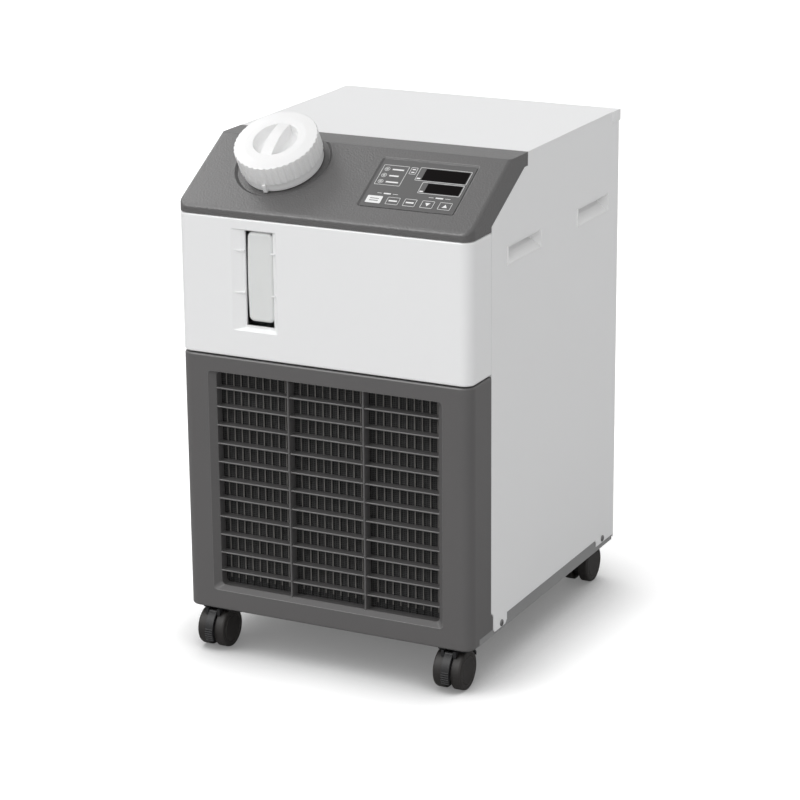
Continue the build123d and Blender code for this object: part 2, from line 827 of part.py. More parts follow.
def filler_cap():
    """Scalloped cap with an arched grip bar between two rounded hollows and a socket for the neck."""
    ring = Circle(cap_r)
    ring -= Sketch() + [place * Circle(lobe_r) for place in
                        PolarLocations(cap_r + lobe_r - lobe_bite, cap_lobes)]
    body = Pos(0, 0, cap_rim_low) * extrude(ring, amount=cap_top - cap_rim_low)
    body = body & cap_crown()
    body += disc(cap_base_r, cap_base_low, cap_rim_low)
    body += block(-nub_wide / 2, nub_wide / 2, -cap_r - 1, -cap_base_r + 2, cap_base_low, cap_rim_low)
    for side in (-1, 1):
        body -= grip_hollow(side)
    body += grip_bar_arch()
    socket_top = neck_top + clear + gasket_thick + clear
    return cap_plane() * (body - disc(neck_r + cap_thread_gap, cap_base_low - 1, socket_top))


def cap_crown():
    """Outer form of the cap: flat in the middle, falling to a rounded rim."""
    rim = cap_top - cap_fall
    form = disc(cap_r + 1, cap_rim_low - 1, rim)
    cone = Cone(cap_r + 1, cap_crown_r, cap_fall, align=(Align.CENTER, Align.CENTER, Align.MIN))
    form += Pos(0, 0, rim) * cone
    edge = form.edges().filter_by(GeomType.CIRCLE).group_by(SortBy.RADIUS)[-1].sort_by(Axis.Z)[-1]
    return fillet(edge, cap_edge_r)


def grip_hollow(side):
    """Hollow beside the grip bar, with leaning walls and a rounded floor."""
    plan = Circle(grip_r) & Pos(side * (grip_bar / 2 + grip_r), 0) * Rectangle(2 * grip_r, 2 * grip_r)
    spread = grip_deep * tan(radians(grip_draft))
    floor = Pos(0, 0, cap_top - grip_deep) * offset(plan, -spread)
    hollow = extrude(floor, amount=grip_deep + 0.1, taper=-grip_draft)
    return fillet(hollow.faces().sort_by(Axis.Z)[0].edges(), grip_round)


def grip_bar_arch():
    """Crowned top of the grip bar."""
    top = cap_top + grip_arch
    chord = make_face([ThreePointArc((-grip_r, cap_top), (0, top), (grip_r, cap_top)).edge(),
                       Line((grip_r, cap_top), (-grip_r, cap_top)).edge()])
    return extrude(Plane.YZ * chord, amount=grip_bar / 2, both=True)


def cap_gasket():
    low = neck_top + clear
    ring = disc(neck_r - clear, low, low + gasket_thick)
    return cap_plane() * (ring - disc(neck_r - gasket_wide, low - 1, low + gasket_thick + 1))


def control_overlay():
    middle = Pos((recess_left + recess_right) / 2, (recess_low + recess_high) / 2, -recess_deep)
    face = middle * RectangleRounded(recess_wide - 2 * clear, recess_high - recess_low - 2 * clear,
                                     recess_corner_r)
    return slope_plane() * extrude(face, amount=overlay_thick)


def control_board():
    """Circuit board on the hood's bosses, with its display modules and lamps."""
    top = -moulding - pad_thick - board_gap
    board = block(recess_left + board_margin, recess_right - board_margin, recess_low + board_margin,
                  recess_high - board_margin, top - board_thick, top)
    board += block(display_left + 2, recess_right - 5, display_high - 20, display_high - 2,
                   top, -recess_deep - 1)
    board += block(display_left + 12, recess_right - 5, display_low + 2, display_high - 24,
                   top, -recess_deep - 1)
    return slope_plane() * board


def electrical_box():
    """Folded steel box behind the front frame, open towards the right side panel."""
    front = frame_back
    box = block(box_left, box_right, front, front + box_deep, box_low, box_high)
    box -= block(box_left + box_sheet, box_right + 1, front + box_sheet, front + box_deep - box_sheet,
                 box_low + box_sheet, box_high - box_sheet)
    box += block(box_right - box_sheet, box_right, front, front + box_deep, box_low, box_low + flange)
    box += block(box_right - box_sheet, box_right, front, front + box_deep, box_high - flange, box_high)
    supply = block(box_left + box_sheet, box_left + 40, front + 20, front + 110, box_low + 20, box_low + 90)
    relay_rail = block(box_left + box_sheet, box_left + 9, front + 125, front + box_deep - 15,
                       box_low + 40, box_low + 75)
    return box + supply + relay_rail


def breaker_body():
    """Breaker in the rear panel, with a slot for its lever."""
    x0, x1 = breaker_x - breaker_wide / 2, breaker_x + breaker_wide / 2
    z0, z1 = breaker_z - breaker_tall / 2, breaker_z + breaker_tall / 2
    body = block(x0, x1, skin_back - breaker_deep, depth, z0, z1)
    body += block(x0 - 4, x1 + 4, depth, depth + 2, z0 - 4, z1 + 4)
    body += block(x0 - 4, x1 + 4, skin_back - 3, skin_back, z0 - 4, z1 + 4)
    well = block(breaker_x - lever_wide / 2 - clear, breaker_x + lever_wide / 2 + clear,
                 depth - 14, depth + 3, breaker_z - 20, breaker_z + 20)
    pin = rod(lever_pin_r, (breaker_x - lever_wide, lever_y(), breaker_z),
              (breaker_x + lever_wide, lever_y(), breaker_z))
    return body - well + pin


def lever_y():
    return depth - 6


def breaker_lever():
    x0, x1 = breaker_x - lever_wide / 2, breaker_x + lever_wide / 2
    lever = rod(5.5, (x0, lever_y(), breaker_z), (x1, lever_y(), breaker_z))
    finger = block(x0, x1, lever_y(), depth + lever_long, breaker_z - lever_tall / 2 + 1,
                   breaker_z + lever_tall / 2 - 1)
    turned = Pos(0, lever_y(), breaker_z) * Rot(-22, 0, 0) * Pos(0, -lever_y(), -breaker_z) * finger
    lever += turned
    return lever - rod(lever_pin_r + run_gap, (x0 - 1, lever_y(), breaker_z), (x1 + 1, lever_y(), breaker_z))


def cable_gland():
    """Gland for the power cord: body through the rear panel, dome outside, nut inside."""
    at = lambda y: (gland_x, y, gland_z)
    gland = rod(gland_r - 2, at(skin_back - 6), at(depth + 2))
    gland += hexagon(2 * gland_r, at(depth), at(depth + 5))
    gland += rod(gland_r - 1, at(depth + 5), at(depth + gland_long))
    gland += hexagon(2 * gland_r, at(skin_back - 5), at(skin_back))
    return gland - rod(gland_hole_r, at(skin_back - 10), at(depth + gland_long + 1))


def io_connector():
    """Signal connector with a socket for a plug."""
    x0, x1 = signal_x - signal_wide / 2, signal_x + signal_wide / 2
    z0, z1 = signal_z - signal_tall / 2, signal_z + signal_tall / 2
    body = block(x0, x1, skin_back - 12, depth + 3, z0, z1)
    body += block(x0 - 3, x1 + 3, depth, depth + 1.5, z0 - 3, z1 + 3)
    return body - block(x0 + 2, x1 - 2, depth - 8, depth + 4, z0 + 2, z1 - 2)


def condenser():
    """Finned coil: core block, end plates and the return bends of its tubes."""
    y0, y1 = coil_front, coil_front + coil_deep
    coil = block(-coil_half + 6, coil_half - 6, y0, y1, coil_low, coil_high)
    for side in (-1, 1):
        x = side * (coil_half - 3)
        coil += block(x - 3, x + 3, y0, y1, coil_low, coil_high)
    end = coil_end()
    for row in range(coil_rows):
        z = coil_row_z(row)
        for y in (y0 + coil_deep / 3, coil_rear_y()):
            coil += rod(bend_r, (-end, y, z), (end, y, z))
        for x in (coil_half + coil_bend_out, -coil_half - coil_bend_out):
            coil += rod(bend_r - 1, (x, y0 + coil_deep / 3, z), (x, coil_rear_y(), z))
    return coil


def coil_end():
    """How far the coil's tubes reach to each side."""
    return coil_half + coil_bend_out + bend_r


def coil_rear_y():
    """Rear row of tubes, which the pipes join."""
    return coil_front + coil_deep * 2 / 3


def coil_row_z(row):
    return coil_low + (coil_high - coil_low) / coil_rows * (row + 0.5)


def fan_plane_y():
    """Front face of the shroud's plate."""
    return coil_front + coil_deep + shroud_deep


def fan_shroud():
    """Box from the coil to a plate with the fan ring, and the struts that hold the motor."""
    y0, y1 = coil_front + coil_deep, fan_plane_y()
    low, high = coil_low, coil_high
    shroud = block(-shroud_half, shroud_half, y0, y1 + shroud_sheet, low, high)
    shroud -= block(-shroud_half + shroud_sheet, shroud_half - shroud_sheet, y0 - 1, y1,
                    low + shroud_sheet, high - shroud_sheet)
    bore = fan_r + fan_gap
    ring_end = y1 + ring_deep
    shroud += rod(bore + shroud_sheet, (0, y1, fan_z), (0, ring_end, fan_z))
    shroud -= rod(bore, (0, y0, fan_z), (0, ring_end + 1, fan_z))
    legs = Sketch()
    for number in range(strut_count):
        turn = Rot(0, 0, 45 + 360 / strut_count * number)
        legs += turn * Pos(bore / 2, 0) * Rectangle(bore + 1, strut_wide)
    legs = legs & Circle(bore + shroud_sheet / 2)
    legs -= Circle(fan_motor_r - 12)
    strut_plane = Plane(origin=(0, ring_end - 2, fan_z), x_dir=(1, 0, 0), z_dir=(0, 1, 0))
    return shroud + extrude(strut_plane * legs, amount=2)


def motor_front_y():
    return fan_plane_y() + ring_deep


def fan_motor():
    """Motor bolted behind the struts, its shaft reaching forward through the rotor's hub."""
    y0 = motor_front_y()
    motor = rod(fan_motor_r, (0, y0, fan_z), (0, y0 + fan_motor_deep, fan_z))
    motor = fillet(motor.edges().sort_by(Axis.Y)[-1], 4)
    motor += rod(fan_motor_r - 14, (0, y0 - 2, fan_z), (0, y0, fan_z))
    return motor + rod(fan_shaft_r, (0, rotor_front_y() - 1, fan_z), (0, y0, fan_z))


def rotor_front_y():
    return fan_plane_y() - 1


def fan_rotor():
    """Hub with pitched blades."""
    y0 = rotor_front_y()
    y1 = y0 + rotor_deep
    middle = (y0 + y1) / 2
    rotor = rod(hub_r, (0, y0, fan_z), (0, y1, fan_z))
    blade = Pos(0, 0, (hub_r - 4 + fan_r) / 2) * Box(62, blade_thick, fan_r - hub_r + 8)
    blade = Rot(0, 0, blade_pitch) * blade
    reach = rod(fan_r, (0, y0 - 8, fan_z), (0, y1 + 8, fan_z))
    reach &= block(-half, half, y0, y1, 0, top_z)
    blades = Pos(0, middle, fan_z) * blade
    fan = [Pos(0, middle, fan_z) * Rot(0, 360 / blade_count * n, 0) * Pos(0, -middle, -fan_z) * blades
           for n in range(blade_count)]
    for wing in fan:
        rotor += wing & reach
    return rotor - rod(fan_shaft_r + run_gap, (0, y0 - 1, fan_z), (0, y1 + 1, fan_z))


def compressor():
    """Hermetic compressor: domed can, feet plate, terminal cover."""
    low = pan_floor + mount_tall
    r = compressor_r
    can_low = low + 2 * foot_thick
    can = rod(r, (compressor_x, compressor_y, can_low), (compressor_x, compressor_y, compressor_high))
    ends = can.edges().filter_by(GeomType.CIRCLE).sort_by(Axis.Z)
    can = fillet(ends[0], can_low_r)
    ends = can.edges().filter_by(GeomType.CIRCLE).sort_by(Axis.Z)
    can = fillet(ends[-1], can_high_r)
    feet = Sketch() + [place * Circle(mount_r + 3) for place in PolarLocations(mount_reach, 3, 90)]
    feet = make_hull(feet.edges())
    plate = Pos(compressor_x, compressor_y, low) * extrude(feet, amount=foot_thick)
    can += plate
    can += rod(r - 20, (compressor_x, compressor_y, low), (compressor_x, compressor_y, low + can_low_r))
    can += block(compressor_x - cover_half, compressor_x + cover_half, compressor_y - r - cover_out,
                 compressor_y - r + cover_out, cover_low, cover_high)
    for x, y in mount_places():
        can -= rod(4 + lap, (x, y, low - 1), (x, y, low + foot_thick + 1))
    return can


def mount_places():
    spots = PolarLocations(mount_reach, 3, 90)
    return [(compressor_x + spot.position.X, compressor_y + spot.position.Y) for spot in spots]


def compressor_mounts():
    """Rubber mounts between the pan and the compressor's feet."""
    mounts = Part()
    for x, y in mount_places():
        low = pan_floor
        high = low + mount_tall
        mounts += rod(mount_r, (x, y, low), (x, y, high))
        mounts += rod(4, (x, y, high), (x, y, high + foot_thick + 3))
        mounts += rod(6, (x, y, high + foot_thick), (x, y, high + foot_thick + 3))
    return mounts


def evaporator_ports():
    """Heights of the four stubs, on two rows."""
    low = pan_floor + stub_inset
    return low, pan_floor + evaporator_tall - stub_inset


def evaporator():
    """Brazed plate heat exchanger: block with the plate edges standing out, four stubs at its back."""
    x0, x1 = evaporator_x - evaporator_wide / 2, evaporator_x + evaporator_wide / 2
    y0, y1 = evaporator_y - evaporator_deep / 2, evaporator_y + evaporator_deep / 2
    z1 = pan_floor + evaporator_tall
    body = block(x0, x1, y0, y1, pan_floor, z1)
    step = evaporator_wide / (plate_count + 1)
    for number in range(plate_count):
        x = x0 + step * (number + 1)
        body += block(x - plate_thick / 2, x + plate_thick / 2, y0 - plate_proud, y1 + plate_proud,
                      pan_floor, z1 + plate_proud)
    for z in evaporator_ports():
        for y in (evaporator_y - evaporator_deep / 4, evaporator_y + evaporator_deep / 4):
            body += rod(stub_r, (x1, y, z), (x1 + stub_long, y, z))
    return body


def pump():
    """Pump on a foot: motor, volute with inlet in front and outlet on top."""
    z = pump_axis_z()
    y0 = pump_y - pump_motor_long / 2
    body = rod(pump_motor_r, (pump_x, y0, z), (pump_x, y0 + pump_motor_long, z))
    body += rod(volute_r, (pump_x, y0 - volute_long, z), (pump_x, y0, z))
    body += rod(water_pipe_r + 3, (pump_x, y0 - volute_long - 14, z), (pump_x, y0 - volute_long, z))
    top = z + volute_r + 12
    body += rod(water_pipe_r + 3, (pump_x, y0 - volute_long / 2, z), (pump_x, y0 - volute_long / 2, top))
    body += block(pump_x - 26, pump_x + 26, y0 + 6, y0 + pump_motor_long - 6,
                  pan_floor, pan_floor + pump_foot)
    return body + block(pump_x - 10, pump_x + 10, y0 + 12, y0 + pump_motor_long - 12, pan_floor, z)


def pump_axis_z():
    return pan_floor + pump_foot + volute_r


def water_port(z, hex_size, thread_r, thread_long):
    """Threaded socket through the rear panel with a hexagon outside and a nut inside."""
    wall = 3 if thread_r < 8 else 4
    at = lambda y: (port_x, y, z)
    end = depth + port_reach
    body = rod(thread_r + wall, at(skin_back - 16), at(end))
    body += hexagon(hex_size, at(end - port_hex_long), at(end))
    body += hexagon(hex_size, at(skin_back - port_nut), at(skin_back))
    body += rod(thread_r + wall + 3, at(depth), at(depth + 3))
    body -= rod(thread_r, at(end - thread_long), at(end + 1))
    return body - rod(thread_r - 2, at(skin_back - 17), at(end))


def return_pipe():
    """From the return port to the evaporator's upper stub."""
    low, high = evaporator_ports()
    y = evaporator_y + evaporator_deep / 4
    start = (evaporator_x + evaporator_wide / 2 + stub_long, y, high)
    out = start[0] + 22
    return pipe(water_pipe_r, water_wall, 12, start, (out, y, high), (out, skin_back - 50, return_z),
                (port_x, skin_back - 50, return_z), (port_x, skin_back - 16, return_z))


def tank_feed_pipe():
    """From the evaporator's other upper stub to the tank."""
    low, high = evaporator_ports()
    y = evaporator_y - evaporator_deep / 4
    start = (evaporator_x + evaporator_wide / 2 + stub_long, y, high)
    out = start[0] + 18
    tank_y = frame_back + tank_deep
    return pipe(water_pipe_r, water_wall, 12, start, (out, y, high), (out, y, tank_low + 60),
                (out, tank_y, tank_low + 60))


def pump_inlet_pipe():
    """From the tank's back down to the pump."""
    y0 = pump_y - pump_motor_long / 2 - volute_long - 14
    z = pump_axis_z()
    tank_y = frame_back + tank_deep
    x = pump_x + 26
    return pipe(water_pipe_r, water_wall, 12, (x, tank_y, tank_low + 22), (x, tank_y + 24, tank_low + 22),
                (x, tank_y + 24, z), (pump_x, tank_y + 24, z), (pump_x, y0, z))


def supply_pipe():
    """From the pump's outlet to the outlet port."""
    y = pump_y - pump_motor_long / 2 - volute_long / 2
    top = pump_axis_z() + volute_r + 12
    return pipe(water_pipe_r, water_wall, 12, (pump_x, y, top), (pump_x, y, outlet_z + 30),
                (pump_x, skin_back - 34, outlet_z + 30), (port_x, skin_back - 34, outlet_z),
                (port_x, skin_back - 16, outlet_z))


def discharge_pipe():
    """Hot gas from the compressor to the coil."""
    z = coil_row_z(coil_gas_row)
    y = coil_rear_y()
    start = compressor_x + compressor_r
    out = start + 20
    return pipe(gas_pipe_r, gas_wall, 12, (start, compressor_y, gas_port_z), (out, compressor_y, gas_port_z),
                (out, y, z), (coil_end(), y, z))


def liquid_pipe():
    """Condensed liquid from the coil to the evaporator."""
    low, high = evaporator_ports()
    y = coil_rear_y()
    z = coil_row_z(coil_liquid_row)
    out = -coil_end() - 16
    behind = fan_plane_y() + ring_deep + 12
    end = (evaporator_x + evaporator_wide / 2 + stub_long, evaporator_y - evaporator_deep / 4, low)
    return pipe(liquid_pipe_r, gas_wall, 8, (-coil_end(), y, z), (out, y, z), (out, behind, z),
                (end[0] + 20, behind, low), (end[0] + 20, end[1], low), end)


def suction_pipe():
    """Cold gas from the evaporator back to the compressor."""
    low, high = evaporator_ports()
    start = (evaporator_x + evaporator_wide / 2 + stub_long, evaporator_y + evaporator_deep / 4, low)
    out = start[0] + 14
    end = compressor_x - compressor_r
    return pipe(gas_pipe_r, gas_wall, 12, start, (out, start[1], low), (out, start[1], suction_z),
                (end - 30, start[1], suction_z), (end - 30, compressor_y, suction_z),
                (end, compressor_y, suction_z))


def axle_z():
    """Height of the axles over the panels' lower edge."""
    return wheel_r - floor_gap


def caster_top():
    """Top of the hood, just under the stem's collar."""
    return -pan_drop - collar_thick - clear


def caster_stem():
    """Threaded stem with its collar under the base pan."""
    collar_low = -pan_drop - collar_thick
    stem = rod(stem_r, (0, 0, collar_low - stem_deep), (0, 0, pan_floor + stem_high))
    return stem + rod(stem_collar_r, (0, 0, collar_low), (0, 0, -pan_drop))


def side_plane():
    """Plane through the axle, seen from the side: x towards the wheels' far side, y up."""
    return Plane(origin=(0, trail, axle_z()), x_dir=(0, 1, 0), z_dir=(1, 0, 0))


def across_caster(profile, half_wide):
    """Side view profile extruded to both sides of the caster's middle."""
    return extrude(side_plane() * profile, amount=half_wide, both=True)


def at_angle(radius, angle):
    """Point in the side view, the angle counted up from the wheels' far side."""
    return radius * cos(radians(angle)), radius * sin(radians(angle))


def caster_hood(braked):
    """Housing with a web between the wheels, the stem's socket, a fender over the treads and the axle."""
    web = wheel_gap / 2 - web_side
    top = caster_top() - axle_z()
    across = wheel_gap / 2 + wheel_wide
    round_web = Circle(web_r)
    neck = Polyline((-trail - socket_half, 0), (-trail - socket_half, top), (-trail + socket_half, top),
                    (web_r * 0.7, web_r * 0.7), (0, -web_r * 0.5), close=True)
    hood = across_caster(round_web + make_face(neck), web)
    fender_in = wheel_r + fender_gap
    fender = Circle(top) - Circle(fender_in)
    middle = Pos((fender_front - fender_back) / 2, top)
    shade = middle * Rectangle(fender_front + fender_back, 2 * (top - fender_low))
    hood += across_caster(fender & shade, across)
    if braked:
        hood += brake_ears(web, top, fender_in)
    boss = rod(socket_half + 1, (0, 0, caster_top() - boss_tall), (0, 0, caster_top()))
    hood += boss - across_caster(Circle(fender_in), across)
    hood += rod(axle_r, (axle_end - across, trail, axle_z()), (across - axle_end, trail, axle_z()))
    return hood - rod(stem_r + run_gap, (0, 0, caster_top() - stem_deep - 1), (0, 0, caster_top() + 1))


def brake_ears(web, top, fender_in):
    """Two ears over the treads with the pedal's pin between them."""
    y, z = at_angle(pedal_pivot_r, pedal_pivot_angle)
    side = Pos((y + ear_long) / 2, (top + z) / 2 - ear_long / 2) * Rectangle(y + ear_long, top - z + ear_long)
    side += Pos(y, z) * Circle(min(ear_long, top - z))
    side -= Circle(fender_in)
    side &= Pos(0, top - wheel_r) * Rectangle(4 * wheel_r, 2 * wheel_r)
    ears = across_caster(side, web + web_side + ear_wide)
    ears -= across_caster(side, web + 2 * web_side)
    return ears + across_caster(Pos(y, z) * Circle(pedal_pin_r), web + web_side + ear_wide)


def brake_pedal():
    """Curved pedal in front of the web, hinged on the pin between the ears and ribbed at its lower end."""
    web = wheel_gap / 2 - web_side
    inner = wheel_r + pedal_gap
    outer = inner + pedal_wall
    y, z = at_angle(pedal_pivot_r, pedal_pivot_angle)
    side = Circle(outer) - Circle(inner)
    far = 2 * outer
    fan = [(0, 0)] + [at_angle(far, pedal_low_angle + (pedal_pivot_angle - pedal_low_angle) * step / 4)
                      for step in range(5)]
    side &= make_face(Polyline(*fan, close=True))
    for rib in range(pedal_ribs):
        side += Pos(*at_angle(outer, pedal_low_angle + pedal_rib_step * (rib + 0.5))) * Circle(pedal_rib)
    side += Pos(y, z) * Circle(pedal_knuckle_r)
    side -= Pos(y, z) * Circle(pedal_pin_r + run_gap)
    return across_caster(side, web)


def caster_wheel(side):
    """Wheel open towards the caster's middle: tread, outer disc with a groove, and hub."""
    inner = wheel_gap / 2
    outer = inner + wheel_wide
    disc_in = outer - disc_wall
    bore = axle_r + run_gap
    hub_in = inner - web_side / 2
    profile = make_face(Polyline(
        (inner, wheel_r - rim_wall), (inner, wheel_r - tread_edge), (inner + tread_edge, wheel_r),
        (outer - wheel_edge, wheel_r), (outer - wheel_edge * 0.3, wheel_r - wheel_edge * 0.3),
        (outer, wheel_r - wheel_edge), (outer, groove_r + groove_wide),
        (outer - groove_deep, groove_r + groove_wide),
        (outer - groove_deep, groove_r), (outer, groove_r), (outer, 0), (outer - wheel_cap, 0),
        (outer - wheel_cap, bore), (hub_in, bore), (hub_in, wheel_hub_r), (disc_in, wheel_hub_r),
        (disc_in, wheel_r - rim_wall), close=True))
    turned = revolve(profile, axis=Axis.X)
    if side < 0:
        turned = mirror(turned, about=Plane.YZ)
    return Pos(0, trail, axle_z()) * turned


def casters():
    """The four casters' pieces by name, the front ones turned forward and braked."""
    pieces = {}
    corners = [(end, side) for end in ("front", "rear") for side in ("left", "right")]
    for (end, side), (x, y) in zip(corners, caster_places()):
        braked = end == "front"
        place = Pos(x, y, 0) * Rot(0, 0, 180 if braked else 0)
        tail = f"{end}_{side}"
        pieces["caster_stem_" + tail] = place * caster_stem()
        pieces["caster_hood_" + tail] = place * caster_hood(braked)
        pieces["caster_wheel_" + tail + "_a"] = place * caster_wheel(-1)
        pieces["caster_wheel_" + tail + "_b"] = place * caster_wheel(1)
        if braked:
            pieces["brake_pedal_" + side] = place * brake_pedal()
    return pieces


def caster_nuts():
    """Nuts of the four stems on the base pan's floor."""
    nuts = Part()
    for x, y in caster_places():
        nuts += hexagon(nut_across, (x, y, pan_floor), (x, y, pan_floor + nut_thick))
        nuts -= rod(stem_r + nut_gap, (x, y, pan_floor - 1), (x, y, pan_floor + nut_thick + 1))
    return nuts


def panel_screws():
    """Screws of the side panels' tabs."""
    screws = Part()
    for side in (-1, 1):
        for y, z in (side_screw_front, side_screw_rear):
            screws += rod(screw_r, (side * half, y, z), (side * (half + screw_head), y, z))
            screws += rod(screw_shank_r, (side * half, y, z), (side * (half - screw_long), y, z))
    return screws


def build():
    """Every piece by its node name."""
    left_panel, right_panel = left_and_right(side_panel())
    left_grips, right_grips = side_grips()
    pieces = {
        "base_pan": base_pan(),
        "side_panel_left": left_panel,
        "side_panel_right": right_panel,
        "top_panel": top_panel(),
        "rear_panel": rear_panel(),
        "front_frame": front_frame(),
        "control_hood": control_hood(),
        "upper_front_panel": upper_front_panel(),
        "grille_panel": grille_panel(),
        "dust_filter": dust_filter(),
        "side_grips_left": left_grips,
        "side_grips_right": right_grips,
        "tank": tank(),
        "filler_cap": filler_cap(),
        "cap_gasket": cap_gasket(),
        "control_overlay": control_overlay(),
        "control_board": control_board(),
        "electrical_box": electrical_box(),
        "breaker_body": breaker_body(),
        "breaker_lever": breaker_lever(),
        "cable_gland": cable_gland(),
        "io_connector": io_connector(),
        "condenser": condenser(),
        "fan_shroud": fan_shroud(),
        "fan_motor": fan_motor(),
        "fan_rotor": fan_rotor(),
        "compressor": compressor(),
        "compressor_mounts": compressor_mounts(),
        "evaporator": evaporator(),
        "discharge_pipe": discharge_pipe(),
        "suction_pipe": suction_pipe(),
        "liquid_pipe": liquid_pipe(),
        "pump": pump(),
        "return_pipe": return_pipe(),
        "tank_feed_pipe": tank_feed_pipe(),
        "pump_inlet_pipe": pump_inlet_pipe(),
        "supply_pipe": supply_pipe(),
        "outlet_port": water_port(outlet_z, port_hex, port_thread_r, port_thread_long),
        "return_port": water_port(return_z, port_hex, port_thread_r, port_thread_long),
        "drain_port": water_port(drain_z, drain_hex, drain_thread_r, drain_thread_long),
        "panel_screws": panel_screws(),
        "caster_nuts": caster_nuts(),
    }
    pieces.update(casters())
    return pieces


def main():
    os.makedirs("parts", exist_ok=True)
    pieces = build()
    boxes = [piece.bounding_box() for piece in pieces.values()]
    middle_y = (min(box.min.Y for box in boxes) + max(box.max.Y for box in boxes)) / 2
    for name, piece in pieces.items():
        export_step(Pos(0, -middle_y, floor_gap) * piece, f"parts/{name}.step")


main()
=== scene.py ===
"""Looks of the recirculating chiller: materials, printed panel, fasteners, light and camera."""
import json
import math

import bmesh
import bpy
from mathutils import Matrix, Vector


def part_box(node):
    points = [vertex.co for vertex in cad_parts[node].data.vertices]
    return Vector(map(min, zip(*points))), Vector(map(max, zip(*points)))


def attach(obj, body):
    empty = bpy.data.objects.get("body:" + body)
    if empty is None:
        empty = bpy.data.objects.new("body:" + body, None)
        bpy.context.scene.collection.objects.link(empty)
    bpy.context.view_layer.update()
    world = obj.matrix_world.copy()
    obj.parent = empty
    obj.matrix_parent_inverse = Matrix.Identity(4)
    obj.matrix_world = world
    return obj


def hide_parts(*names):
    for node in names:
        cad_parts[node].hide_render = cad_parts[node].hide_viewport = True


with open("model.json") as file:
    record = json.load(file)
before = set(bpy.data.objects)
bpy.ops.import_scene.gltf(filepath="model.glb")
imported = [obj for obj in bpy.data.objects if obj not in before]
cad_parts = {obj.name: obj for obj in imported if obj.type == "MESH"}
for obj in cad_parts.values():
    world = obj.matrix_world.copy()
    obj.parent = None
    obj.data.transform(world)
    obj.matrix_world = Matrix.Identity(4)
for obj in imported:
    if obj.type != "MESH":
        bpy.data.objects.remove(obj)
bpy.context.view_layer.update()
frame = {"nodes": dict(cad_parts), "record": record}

MM = 0.001
SLOPE_ANGLE = math.radians(30.6)   # slanted face of the control hood, from the level

# Cabinet, dust filter and print, in millimetres.
BEND_Y = 108.5                     # where the slanted face meets the flat strip
TOP_Z = 560.6                      # top of the hood over the panels' lower edge
CABINET_DEPTH = 431.0              # front face to rear face
OVERLAY_TOP = -1.2                 # height of the overlay over the slanted face
RIB_FRONT = 19.0                   # dust filter's ribs, from the front face back
RIB_FACE = 0.15                    # depth of the ribs' pale front
RIB_LOW = 36.0                     # below this height the ribs take the net's dark colour
LINE = 0.65                        # width of a printed line
PRINT_THICK = 0.05                 # height of the print over what carries it

# Textures and floor, in metres.
NET_PITCH = 0.0023                 # threads of the dust filter's net
FIN_PITCH = 0.0018                 # fins of the condenser
PAINTED_SHADOW_REACH = 0.13                # reach of the floor's painted shadow round the casters

BEVEL_SAMPLES = 4
STREAK_SHINE, STREAK_MATTE = 0.08, 0.12   # roughness of drawn lines, below and above the metal's own

# Cabinet frame: x to the right, y back from the front face, z up from the panels' lower edge.
panel_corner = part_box("grille_panel")[0]
ORIGIN = Vector((0, panel_corner.y, panel_corner.z))


def at(x, y, z):
    """Point of the cabinet frame, given in millimetres."""
    return ORIGIN + Vector((x, y, z)) * MM


def slope_matrix():
    """Places millimetres across, up and out of the slanted face."""
    across = Vector((1, 0, 0))
    out = Vector((0, -math.sin(SLOPE_ANGLE), math.cos(SLOPE_ANGLE)))
    up = out.cross(across)
    turn = Matrix((across, up, out)).transposed().to_4x4()
    return Matrix.Translation(at(0, BEND_Y, TOP_Z)) @ turn @ Matrix.Scale(MM, 4)


def feed(tree, node, inputs):
    """Links each named or numbered input of a node to a socket, or gives it a value."""
    for label, source in inputs.items():
        if isinstance(source, bpy.types.NodeSocket):
            tree.links.new(source, node.inputs[label])
        else:
            node.inputs[label].default_value = source


def add_node(tree, kind, inputs=None, **settings):
    """Shader node with its settings and inputs."""
    node = tree.nodes.new(kind)
    for label, value in settings.items():
        setattr(node, label, value)
    feed(tree, node, inputs or {})
    return node


def add_math(tree, operation, *values):
    """Result of a math node over sockets and numbers."""
    return add_node(tree, "ShaderNodeMath", dict(enumerate(values)), operation=operation).outputs["Value"]


def object_place(tree):
    """Texture coordinates of the object."""
    return add_node(tree, "ShaderNodeTexCoord").outputs["Object"]


def make_group(name, inputs, outputs):
    """Empty shader group with the sockets given as (name, type, value)."""
    group = bpy.data.node_groups.new(name, "ShaderNodeTree")
    for label, kind, value in inputs:
        socket = group.interface.new_socket(name=label, in_out="INPUT", socket_type=kind)
        socket.default_value = value
    for label, kind in outputs:
        group.interface.new_socket(name=label, in_out="OUTPUT", socket_type=kind)
    return group, group.nodes.new("NodeGroupInput").outputs, group.nodes.new("NodeGroupOutput")


